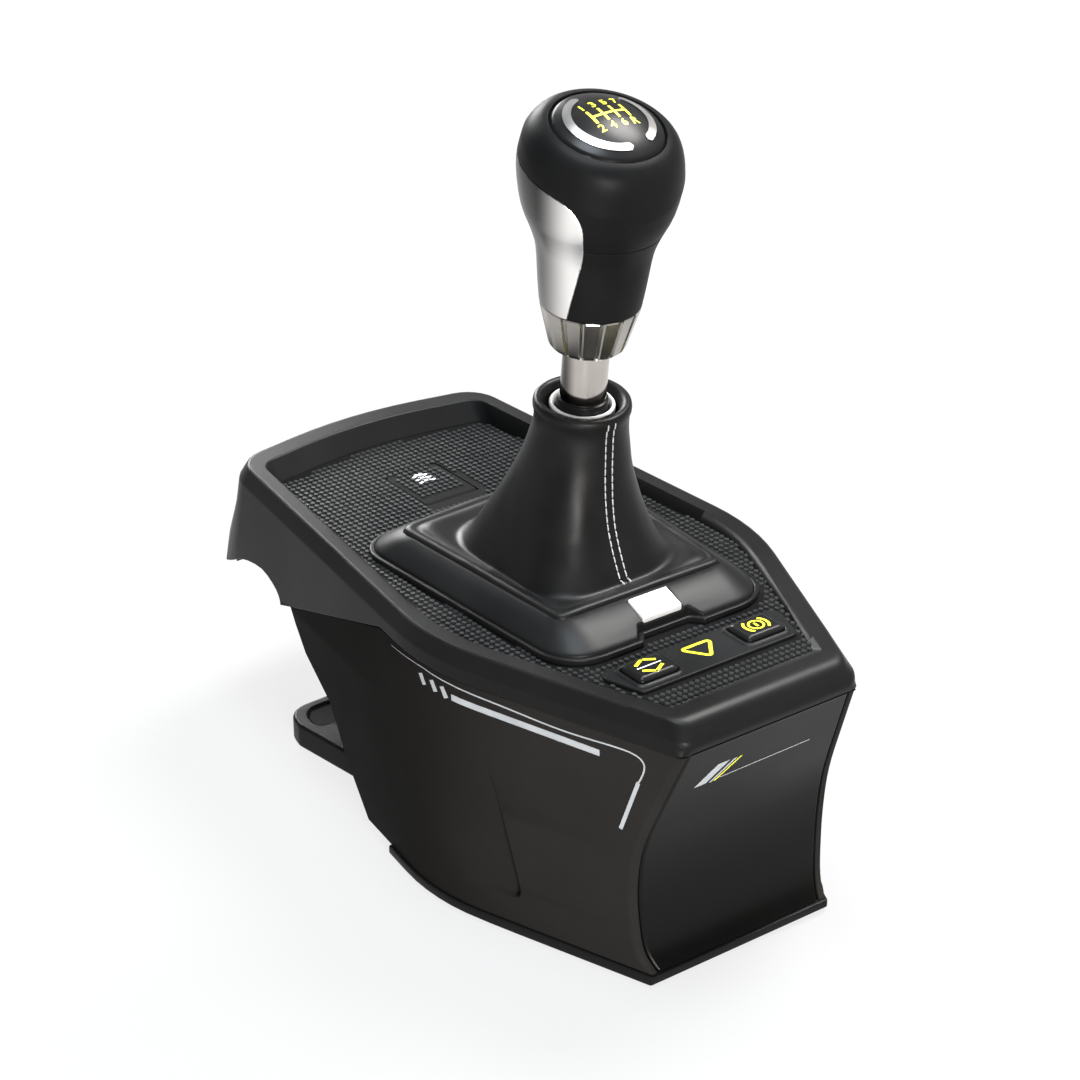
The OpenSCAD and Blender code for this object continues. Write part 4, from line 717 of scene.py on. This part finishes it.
# gaiter: a soft bell from the frame up to a rolled collar
bootLook = {
    "spokes": 144, "middle": (0, -18.8), "collar": 15.6,
    "frameCorners": ((-42, -76.4), (42, -76.4), (49, 35.8), (0, 38.8), (-49, 35.8)),
    "frameRadii": (3.5, 3.5, 4, 120, 4), "inset": (16.2, 9.8, 12.6, 12.6, 9.8),
    "coneCorners": ((-29.5, -53), (25.5, -53), (27, 13.5), (-29.5, 13.5)), "coneRadii": (14, 22, 18, 18),
    # distance in from the edge and height above the deck, over the rolled hem
    "hem": ((0.1, 5.5), (0.1, 8.9), (0.25, 9.5), (0.6, 10.0), (1.2, 10.35), (2.0, 10.45), (2.8, 10.3), (3.4, 10.1)),
    # radius and distance along the lever, over the rolled collar and into the mouth
    "roll": ((15.45, 84.6), (15.85, 85.8), (15.9, 87), (15.65, 88), (15.1, 88.6), (14.3, 88.85), (13.4, 88.55),
             (12.7, 87.8), (12.1, 86.6), (11.7, 85), (11.4, 82), (11.4, 79)),
    "flangeRings": 8, "hump": 1.5, "humpLean": 0.8, "humpDip": 0.55, "humpWide": (3, 13),
    "coneRings": 34, "bellCurve": 1.75, "rollGap": 1, "neckIn": 0.25, "neckFrom": (0.8, 0.15),
    "easeRounds": 14, "easeFlange": 5, "easeBell": 0.3, "easeBy": 0.5,
    "unevenFrom": 107, "uneven": ((55, 0.35), (140, 0.12)),  # fineness and depth of each wave
    "seamHeight": 126, "bendFrom": 0.1092, "bendTo": 0.158,  # the last two are in metres
}


def insetCorners(corners, moves):                       # each side of an outline moved inwards by its own distance
    corners = [Vector(c) for c in corners]
    sides = []
    for i, c in enumerate(corners):
        along = (corners[(i + 1) % len(corners)] - c).normalized()
        sides.append((c + Vector((-along.y, along.x)) * moves[i], along))
    moved = []
    for i in range(len(corners)):
        (p, d), (q, e) = sides[i - 1], sides[i]
        moved.append(p + d * ((q - p).x * e.y - (q - p).y * e.x) / (d.x * e.y - d.y * e.x))
    return moved


def roundedOutline(corners, radii, steps=16):
    outline = []
    for i, p in enumerate(corners):
        u = (corners[i - 1] - p).normalized()
        v = (corners[(i + 1) % len(corners)] - p).normalized()
        half = u.angle(v) / 2
        c = p + (u + v).normalized() * radii[i] / math.sin(half)
        s = p + u * radii[i] / math.tan(half) - c
        e = p + v * radii[i] / math.tan(half) - c
        turn = math.atan2(s.x * e.y - s.y * e.x, s.dot(e))
        for k in range(steps + 1):
            g = turn * k / steps
            outline.append(c + Vector((s.x * math.cos(g) - s.y * math.sin(g), s.x * math.sin(g) + s.y * math.cos(g))))
    return outline


def spokesTo(outline, middle, count):                   # points of an outline in even directions from the middle
    middle, slack = Vector(middle), 1e-6
    found = []
    for a in turnsRound(count):
        d = Vector((math.cos(a), math.sin(a)))
        best = 0
        for p, q in zip(outline, outline[1:] + outline[:1]):
            e, w = q - p, p - middle
            den = d.x * e.y - d.y * e.x
            if abs(den) < slack * mm:                   # the side runs along the spoke
                continue
            t, u = (w.x * e.y - w.y * e.x) / den, (w.x * d.y - w.y * d.x) / den
            if t > best and -slack <= u <= 1 + slack:
                best = t
        found.append(middle + d * best)
    return found


def onDeck(flat, h):
    return deckSpace @ (Vector((flat.x, flat.y, h)) * mm)


def onLever(r, a, l):
    return leverSpace @ (Vector((r * math.cos(a), r * math.sin(a), l)) * mm)


def bootShape(look):
    count, turns = look["spokes"], turnsRound(look["spokes"])

    def hemLine(d):
        corners = insetCorners(look["frameCorners"], [m + d for m in look["inset"]])
        return spokesTo(roundedOutline(corners, look["frameRadii"]), look["middle"], count)

    coneCorners = [Vector(c) for c in look["coneCorners"]]
    cone = spokesTo(roundedOutline(coneCorners, look["coneRadii"]), look["middle"], count)
    bm, ring = bmesh.new(), None
    for d, h in look["hem"]:
        edge = hemLine(d)
        ring = addRow(bm, ring, [onDeck(p, h) for p in edge])
    flange, bell = [], []
    low = look["hem"][-1][1]
    narrow, wider = look["humpWide"]
    for t in shares(look["flangeRings"] + 1)[1:-1]:     # the flange swells where it is wide, then dips to the bell
        swell = math.sin(math.pi * t ** look["humpLean"]) - look["humpDip"] * t
        places = []
        for p, q in zip(edge, cone):
            wide = smoothStep(((q - p).length - narrow) / wider)
            places.append(onDeck(p.lerp(q, t), low + wide * look["hump"] * swell))
        ring = addRow(bm, ring, places)
        flange += ring
    foot = [onDeck(q, low) for q in cone]
    end = look["roll"][0][1] - look["rollGap"]
    neck, run = look["neckFrom"]
    for t in shares(look["coneRings"])[:-1]:
        w = (1 - t) ** look["bellCurve"]
        r = look["collar"] - look["neckIn"] * smoothStep((t - neck) / run)
        places = []
        for p, a in zip(foot, turns):
            start = (leverSpace.inverted() @ p).z / mm
            q = onLever(r, a, start + (end - start) * t)
            places.append(Vector((p.x * w + q.x * (1 - w), p.y * w + q.y * (1 - w), q.z)))
        ring = addRow(bm, ring, places)
        bell += ring if t < look["easeBell"] else []
    eased = flange[-look["easeFlange"] * count:] + bell
    for _ in range(look["easeRounds"]):                 # ease the fold between flange and bell
        bmesh.ops.smooth_vert(bm, verts=eased, factor=look["easeBy"],
                              use_axis_x=True, use_axis_y=True, use_axis_z=True)
    for r, l in look["roll"]:
        ring = addRow(bm, ring, [onLever(r, a, l) for a in turns])
    for v in bm.verts:                                  # slight unevenness of stretched hide
        if v.co.z > look["unevenFrom"] * mm:
            v.co += v.normal * sum(noise.noise(v.co * fine) * deep for fine, deep in look["uneven"]) * mm
    bmesh.ops.recalc_face_normals(bm, faces=bm.faces)
    bm.normal_update()
    return bm


def splitBoot(bm, look):                                # two halves that meet unseen
    wholeNormal = bm.verts.layers.float_vector.new("wholeNormal")
    for v in bm.verts:
        v[wholeNormal] = v.normal
    level = look["seamHeight"] * mm
    pieces = []
    for name, high in (("gaiterLow", False), ("gaiterHigh", True)):
        half = bm.copy()
        bmesh.ops.bisect_plane(half, geom=everything(half), plane_co=(0, 0, level), plane_no=(0, 0, 1),
                               clear_inner=high, clear_outer=not high)
        layer = half.verts.layers.float_vector["wholeNormal"]
        normals = [v[layer].normalized() for v in half.verts]
        piece = finishPiece(name, half, "bootLeather", None, "boot_leather", ["boot"], sharp=180)
        piece.data.normals_split_custom_set_from_vertices(normals)
        pieces.append(piece)
    bm.free()
    return pieces


def bendBoot(low, high):                          # bakes the placement of each piece, low and high alike, into its mesh
    for piece in low:
        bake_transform(piece)
    for piece in high:
        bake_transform(piece)


boot = splitBoot(bootShape(bootLook), bootLook)
print("gaiter made:", [len(p.data.polygons) for p in boot])


# two rows of thread down the front seam of the gaiter
threadLook = {
    "apart": 1.35, "long": 2.3, "step": 2.6, "thick": 0.24, "sides": 5, "leastDrop": 0.25,
    "top": 159.0, "low": 108.7, "drift": -2.6, "driftFrom": 158, "driftOver": 45, "away": -200,
    # place along a stitch, height and width, as shares of its length and thickness
    "shape": ((0.0, -0.25, 0.5), (0.12, 0.25, 0.9), (0.5, 0.42, 1.0), (0.88, 0.25, 0.9), (1.0, -0.25, 0.5)),
}


def seamSpot(tree, z, look):                            # the seam's place at a height, with the outward direction
    x = look["drift"] * smoothStep((look["driftFrom"] - z) / look["driftOver"])
    return tree.ray_cast(Vector((x, look["away"], z)) * mm, Vector((0, 1, 0)))[:2]


def stitch(bm, start, end, out, look):                  # one stitch, sunk at both ends
    along = end - start
    side = along.cross(out).normalized()
    lift = side.cross(along).normalized()
    ring = None
    for t, h, wide in look["shape"]:
        centre = start + along * t + out * h * look["thick"] * mm
        ring = addRow(bm, ring, [centre + (side * math.cos(a) + lift * math.sin(a)) * look["thick"] * wide * mm
                                 for a in turnsRound(look["sides"])])


def seamStitches(pieces, look, level):
    whole, _ = treeOf(*pieces)
    low, high = bmesh.new(), bmesh.new()
    for row in (-1, 1):
        z = look["top"]
        while z > look["low"]:
            spot, normal = seamSpot(whole, z, look)
            nextSpot, _ = seamSpot(whole, z - 1, look)
            if spot is None or nextSpot is None:
                break
            down = (nextSpot - spot).normalized()
            drop = look["step"] * max(-down.z, look["leastDrop"])
            side = down.cross(normal).normalized() * row * look["apart"] * mm
            bm = high if z - drop > level else low
            stitch(bm, spot + side, spot + side + down * look["long"] * mm, normal, look)
            z -= drop
    made = []
    for name, bm in (("seamThreadLow", low), ("seamThreadHigh", high)):
        bmesh.ops.recalc_face_normals(bm, faces=bm.faces)
        made.append(finishPiece(name, bm, "greyThread", None, "boot_leather", sharp=80))
    return made


thread = seamStitches(boot, threadLook, bootLook["seamHeight"])
print("seam stitches made")


# lever: bright shaft, black sleeve, ring and fluted collar
leverLook = {
    # radius and distance along the lever
    "brightShaft": ((7.0, 10.2), (7.5, 10.8), (7.5, 161.4), (7.0, 161.9)),
    "shaftSleeve": ((7.52, 80.2), (8.95, 80.2), (9.0, 84.4), (8.5, 85.2), (8.35, 88.6), (8.1, 89.4), (7.52, 89.6)),
    "sleeveRing": ((9.1, 84.6), (10.3, 84.6), (10.6, 85.0), (10.6, 87.0), (10.2, 87.5), (9.7, 87.5), (9.35, 87.1),
                   (9.1, 86.2), (9.1, 84.6)),
    # finish, slot and node
    # the shaft takes the chrome with painted reflection and shade
    "spun": {"brightShaft": ("chromeMetalPaintedShade", "chrome_metal", "lever_shaft"),
             "shaftSleeve": ("glossPlastic", "gloss_black", "boot_bush"),
             "sleeveRing": ("brightTab", "satin_metal", "boot_ring")},
    "flutes": 16, "grooveDeep": 0.75,
    # groove, two shoulders and the flat panel between: place in a flute, share of the depth
    "flute": ((0, 1), (0.08, 0.8), (0.17, 0), (0.83, 0), (0.92, 0.8)),
    # radius and distance along the lever, with the share of the groove that each ring has
    "collar": ((7.55, 109.0, 0), (11.0, 108.6, 0), (11.7, 108.75, 0), (12.2, 109.3, 1), (12.6, 110.3, 1),
               (15.85, 122.6, 1), (16.05, 123.3, 1), (15.9, 123.75, 0), (15.0, 123.85, 0), (7.55, 123.85, 0)),
}


def flutedCollar(look):
    turns = [((k + c) / look["flutes"] * math.tau, d) for k in range(look["flutes"]) for c, d in look["flute"]]
    bm, ring = bmesh.new(), None
    for r, l, share in look["collar"]:
        ring = addRow(bm, ring, [onLever(r - look["grooveDeep"] * share * d, a, l) for a, d in turns])
    bmesh.ops.recalc_face_normals(bm, faces=bm.faces)
    return finishPiece("flutedCollar", bm, "collarMetal", "lever", "chrome_metal", ["knob_collar"], sharp=24)


for name, (finish, slotName, node) in leverLook["spun"].items():
    finishPiece(name, spinProfile(leverLook[name], leverSpace), finish, "lever", slotName, [node])
flutedCollar(leverLook)


# knob: head, grip and spine from their solids, with a domed disc and its two arcs
knobLook = {
    # node, finish, slot, rounding, its segments, least angle of an edge
    "knobHead": ("knob_head", "knobSkin", "knob_black", 0.45, 3, 50),
    "knobGrip": ("knob_grip", "knobSkin", "knob_black", 0.45, 3, 50),
    # the spine takes the metal with painted highlight and shade
    "knobSpine": ("knob_spine", "spineMetalPaintedSheen", "satin_metal", 0.35, 3, 50),
}
discLook = {
    "dome": 4.6, "radius": 17.55, "rows": 18, "sink": 0.2, "edgeDrop": 0.5, "edgeRun": 0.7,
    "rim": ((0.1, -0.9), (0.15, -1.95)), "above": 4,
    "arcRadius": 13.0, "arcWide": 2.5, "arcs": ((104, 268), (-64, 42)), "arcSteps": 40, "arcTip": 0.004,
    "arcLift": 0.16, "arcThick": 0.14,
}


def knobPiece(name, node, finish, slotName, *rounding):
    bm = copyNode(node, flat=0.4)
    softenEdges(bm, *rounding)
    return finishPiece(name, bm, finish, "lever", slotName, [node], sharp=40)


def domeHeight(look, r):                                # height of the disc's dome at a radius
    big = (look["radius"] ** 2 + look["dome"] ** 2) / (2 * look["dome"])
    return math.sqrt(max(big * big - r * r, 0)) - big + look["dome"]


def domedDisc(look):
    edge, run = look["radius"], look["edgeRun"]
    profile = []
    for r in (edge * math.sin(t * math.pi / 2) for t in shares(look["rows"])):
        drop = look["edgeDrop"] * smoothStep((r - edge + run) / run)
        profile.append((r, domeHeight(look, r) - look["sink"] - drop))
    profile += [(edge + out, h) for out, h in look["rim"]] + [(0, look["rim"][-1][1])]
    bm = spinProfile(profile, capSpace)
    return finishPiece("patternDisc", bm, "glossPlastic", "lever", "gloss_black", ["knob_cap"], sharp=35)


def onDisc(x, y):
    return capSpace @ (Vector((x, y, discLook["above"])) * mm)


def discArcs(look):                                     # two inlaid bright arcs with round ends
    bm = bmesh.new()
    count, half, radius = look["arcSteps"], look["arcWide"] / 2, look["arcRadius"]
    for start, end in look["arcs"]:
        turns = [math.radians(start + (end - start) * k / count) for k in range(count + 1)]
        length = math.radians(end - start) * radius
        widths = []
        for k in range(count + 1):
            near = min(k, count - k) / count * length
            widths.append(2 * math.sqrt(max(half * half - max(half - near, 0) ** 2, look["arcTip"])))
        path = [onDisc(radius * math.cos(a), radius * math.sin(a)) for a in turns]
        printAndShadowStrip(bm, path, widths, discTree, discDown, look["arcLift"])
    bmesh.ops.recalc_face_normals(bm, faces=bm.faces)
    bmesh.ops.solidify(bm, geom=bm.faces[:], thickness=-look["arcThick"] * mm)
    return finishPiece("discArcs", bm, "satinMetal", "lever", "satin_metal", ["cap_arcs"], sharp=30)


for name, look in knobLook.items():
    knobPiece(name, *look)
discTree, _ = treeOf(domedDisc(discLook))
discDown = (capSpace.to_3x3() @ Vector((0, 0, -1))).normalized()
discArcs(discLook)
print("lever and knob made")


# shift pattern on the disc: four lanes, with plain figures
patternLook = {
    "laneX": (-6.0, -2.0, 2.0, 6.0), "middleY": 1.2, "reach": 3.1, "line": 0.85, "steps": 8, "lift": 0.05,
    "odd": "1357", "even": "246R", "figureY": 5.5, "figure": 4.16, "bold": 0.06, "roundness": 3,
}


def patternLines(look):
    bm = bmesh.new()
    y = look["middleY"]
    lanes = [((x, y - look["reach"]), (x, y + look["reach"])) for x in look["laneX"]]
    for a, b in lanes + [((look["laneX"][0], y), (look["laneX"][-1], y))]:
        path = between(onDisc(*a), onDisc(*b), look["steps"])
        printAndShadowStrip(bm, path, [look["line"]], discTree, discDown, look["lift"])
    return printAndShadowPiece("patternLines", bm, "yellowPrint", "lever", "gloss_black")


def figures(look):                                      # text is made a mesh, then laid on the dome
    bm = bmesh.new()
    for row, y in ((look["odd"], look["figureY"]), (look["even"], -look["figureY"])):
        for letter, x in zip(row, look["laneX"]):
            word = bpy.data.curves.new("figure", "FONT")
            word.body = letter
            word.size = look["figure"] * mm
            word.align_x = word.align_y = "CENTER"
            word.offset = look["bold"] * mm
            word.resolution_u = look["roundness"]
            holder = bpy.data.objects.new("figure", word)
            scene.collection.objects.link(holder)
            bpy.context.view_layer.update()
            flat = bpy.data.meshes.new_from_object(holder.evaluated_get(bpy.context.evaluated_depsgraph_get()))
            bpy.data.objects.remove(holder)
            flat.transform(Matrix.Translation((x * mm, (y + look["middleY"]) * mm, 0)))
            bm.from_mesh(flat)
            bpy.data.meshes.remove(flat)
    for v in bm.verts:
        v.co = dropOn(discTree, onDisc(v.co.x / mm, v.co.y / mm), discDown, look["lift"])
    return printAndShadowPiece("patternFigures", bm, "yellowPrint", "lever", "gloss_black")


patternLines(patternLook)
figures(patternLook)
print("shift pattern made")


# prints on the walls: y and z of each line, and widths
wallLook = {
    "pinstripe": ((-14.4, 88.4), (-31, 89.2), (-40.1, 88.6), (-62.5, 87.3), (-84.2, 86), (-102.9, 86.6),
                  (-108.6, 86.2), (-111.4, 84.6), (-111.9, 82), (-110.9, 78.6), (-109.8, 76.2)),
    "pinWide": 0.55, "pinSteps": 10, "pinStart": 0.25, "pinGrow": 2.5,
    "tail": ((-109.9, 76.4), (-103.8, 57.1)), "tailWide": 1.25,
    "bar": ((-45.6, 83.6), (-97.1, 82.4)), "barWide": 2.3, "barSteps": 30,
    "ticks": ((-32.7, 84.8), (-38.0, 84.6), (-42.6, 84.2)), "tickTall": 3.6, "tickWide": 1.9, "tickLean": 0.9,
    "tickSteps": 4, "away": 60,
}


def wallPrint(side, wall, look):
    tree, _ = treeOf(wall)
    aim = Vector((-side, 0, 0))

    def onWall(y, z):
        return Vector((side * look["away"], y, z)) * mm

    bm = bmesh.new()
    line = [onWall(p.x, p.y) for p in throughPoints(look["pinstripe"], look["pinSteps"])]
    count = len(line)
    widths = [look["pinWide"] * min(1, look["pinStart"] + k / count * look["pinGrow"]) for k in range(count)]
    printAndShadowStrip(bm, line, widths, tree, aim)
    for ends, wide in ((look["tail"], look["tailWide"]), (look["bar"], look["barWide"])):
        printAndShadowStrip(bm, between(onWall(*ends[0]), onWall(*ends[1]), look["barSteps"]), [wide], tree, aim)
    lean, half = look["tickLean"], look["tickTall"] / 2
    for y, z in look["ticks"]:
        path = between(onWall(y + lean, z + half), onWall(y - lean, z - half), look["tickSteps"])
        printAndShadowStrip(bm, path, [look["tickWide"]], tree, aim)
    return printAndShadowPiece(sideName(side, "WallPrint"), bm, "silverPrint", "base", "shell_black")


for side, wall in zip((-1, 1), walls):
    wallPrint(side, wall, wallLook)

# slanted bars on the front cover, and a thin line that runs on from them
frontLook = {
    "away": -118,
    # finish, steps along a strip, its slant, then x and z of both ends and the width of each
    "prints": {
        "frontBarsSilver": ("silverPrint", 10, (1, 0, 0), ((-21.6, 72.3), (-14.6, 79.9), 4.6),
                            ((-17.4, 71.9), (-9.9, 79.7), 1.3)),
        "frontBarsYellow": ("yellowPrint", 10, (1, 0, 0), ((-15.7, 71.9), (-7.7, 79.6), 0.8)),
        "frontLine": ("silverPrint", 20, None, ((-14, 72.6), (22, 73.1), 0.35)),
    },
}


def frontPrint(name, finish, steps, slant, *strips):
    tree, _ = treeOf(frontCover)
    bm = bmesh.new()
    for low, high, wide in strips:
        a, b = (Vector((x, frontLook["away"], z)) * mm for x, z in (low, high))
        printAndShadowStrip(bm, between(a, b, steps), [wide], tree, (0, 1, 0), slant=slant)
    return printAndShadowPiece(name, bm, finish, "base", "shell_black")


for name, look in frontLook["prints"].items():
    frontPrint(name, *look)


# raised lip round each button: distance out from the button and height above the plate
lipLook = {"x": 21.2, "y": -90.6, "button": (15, 11.4), "corner": 1.6, "plate": 1.2, "steps": 6,
           "rows": ((0.45, -0.2), (0.5, 0.4), (0.9, 0.65), (1.5, 0.5), (2.2, -0.1))}


def buttonLip(name, x, y, look):
    bm, ring = bmesh.new(), None
    wide, deep = (size / 2 for size in look["button"])
    for out, h in look["rows"]:
        corners = [Vector((x + sx * (wide + out), y + sy * (deep + out)))
                   for sx, sy in ((-1, -1), (1, -1), (1, 1), (-1, 1))]
        outline = roundedOutline(corners, [look["corner"] + out] * 4, look["steps"])
        ring = addRow(bm, ring, [onDeck(p, look["plate"] + h) for p in outline])
    bmesh.ops.recalc_face_normals(bm, faces=bm.faces)
    return finishPiece(name, bm, "framePlastic", "base", "shell_black", sharp=50)


for name, way in (("rangeLip", -1), ("brakeLip", 1)):
    buttonLip(name, way * lipLook["x"], lipLook["y"], lipLook)

# marks on the buttons, the island and the flap, in mm on the deck
markLook = {
    "lift": 0.05, "above": 4,
    "chevron": (3.9, 4.1, 2.4), "chevronSteps": 12, "chevronWide": 1.15,  # half width, tip, drop to the ends
    "line": 4.6, "lineWide": 0.45,
    "ring": 2.5, "ringSteps": 32, "ringWide": 0.75, "bar": 1.2, "barWide": 0.85,
    "shoe": 4.2, "shoeTurn": 48, "shoeSteps": 10, "shoeWide": 0.95,
    "triangle": ((0, -94.8), (5.9, -86.4), (-5.9, -86.4)),
    "triangleRound": 0.9, "triangleSteps": 6, "triangleWide": 1.2,
    "flapTips": (65.6, 68.1, 70.6), "flapChevron": (3.4, 1.3), "flapSteps": 16, "flapWide": 0.95,
}


def deckStrip(bm, points, wide, tree, look):            # a strip given by x, y on the deck
    path = [deckSpace @ (Vector((x, y, look["above"])) * mm) for x, y in points]
    printAndShadowStrip(bm, path, [wide], tree, deckSpace.to_3x3() @ Vector((0, 0, -1)), look["lift"])


def chevron(x, tip, half, drop, steps):
    return [(x + half * s, tip - drop * abs(s)) for s in (2 * t - 1 for t in shares(steps))]


def arc(x, y, radius, turns):
    return [(x + radius * math.cos(a), y + radius * math.sin(a)) for a in turns]


def rangeMarks(x, y, look):                             # one chevron up and one down, with a line between
    tree, _ = treeOf(onDeckMade["rangeButton"])
    half, tip, drop = look["chevron"]
    bm = bmesh.new()
    for way in (1, -1):
        points = chevron(x, y + way * tip, half, way * drop, look["chevronSteps"])
        deckStrip(bm, points, look["chevronWide"], tree, look)
    printAndShadowPiece("rangeArrows", bm, "yellowPrint", "range_button", "gloss_black")
    bm = bmesh.new()
    deckStrip(bm, [(x - look["line"], y), (x + look["line"], y)], look["lineWide"], tree, look)
    printAndShadowPiece("rangeLine", bm, "whitePrint", "range_button", "gloss_black")


def brakeMark(x, y, look):                              # plain brake mark: a ring with two shoes and a bar
    tree, _ = treeOf(onDeckMade["brakeButton"])
    bm = bmesh.new()
    turns = [t * math.tau for t in shares(look["ringSteps"])]
    deckStrip(bm, arc(x, y, look["ring"], turns), look["ringWide"], tree, look)
    for side in (0, math.pi):
        turns = [side + math.radians(look["shoeTurn"] * (2 * t - 1)) for t in shares(look["shoeSteps"])]
        deckStrip(bm, arc(x, y, look["shoe"], turns), look["shoeWide"], tree, look)
    deckStrip(bm, [(x, y - look["bar"]), (x, y + look["bar"])], look["barWide"], tree, look)
    printAndShadowPiece("brakeMark", bm, "yellowPrint", "brake_button", "gloss_black")


def islandMark(look):                                   # plain triangle outline between the buttons
    tree, _ = treeOf(onDeckMade["buttonIsland"])
    corners = [Vector(p) for p in look["triangle"]]
    outline = roundedOutline(corners, [look["triangleRound"]] * 3, look["triangleSteps"])
    bm = bmesh.new()
    deckStrip(bm, [tuple(p) for p in outline + outline[:1]], look["triangleWide"], tree, look)
    printAndShadowPiece("islandMark", bm, "yellowPrint", "base", "gloss_black")


def flapChevrons(look):                                 # small chevrons towards one edge of the flap
    tree, _ = treeOf(onDeckMade["screwFlap"], flapStuds)
    bm = bmesh.new()
    for tip in look["flapTips"]:
        deckStrip(bm, chevron(0, tip, *look["flapChevron"], look["flapSteps"]), look["flapWide"], tree, look)
    printAndShadowPiece("flapChevrons", bm, "whitePrint", "door", "deck_black")


rangeMarks(-lipLook["x"], lipLook["y"], markLook)
brakeMark(lipLook["x"], lipLook["y"], markLook)
islandMark(markLook)
flapChevrons(markLook)
print("prints made")


bendBoot([boot[0], thread[0]], [boot[1], thread[1]])


# every other solid keeps its own shape and takes a finish by its record slot
slotFinishes = {"shell_black": "shellPlastic", "deck_black": "deckPlastic", "gloss_black": "glossPlastic",
                "soft_rubber": "softRubber", "boot_leather": "bootLeather", "knob_black": "knobSkin",
                "satin_metal": "satinMetal", "chrome_metal": "chromeMetalPaintedShade", "steel": "steelMetal",
                "brass": "brassMetal", "board_green": "boardGreen"}
for entry in frame["record"]["subparts"]:
    for spot in nodes[entry["node"]].material_slots:
        spot.material = finishes[slotFinishes[entry["material_slot"]]]
for spot in nodes["deck_panel"].material_slots:         # painted shade: dark ground between the studs
    spot.material = finishes["paintedShadePlastic"]
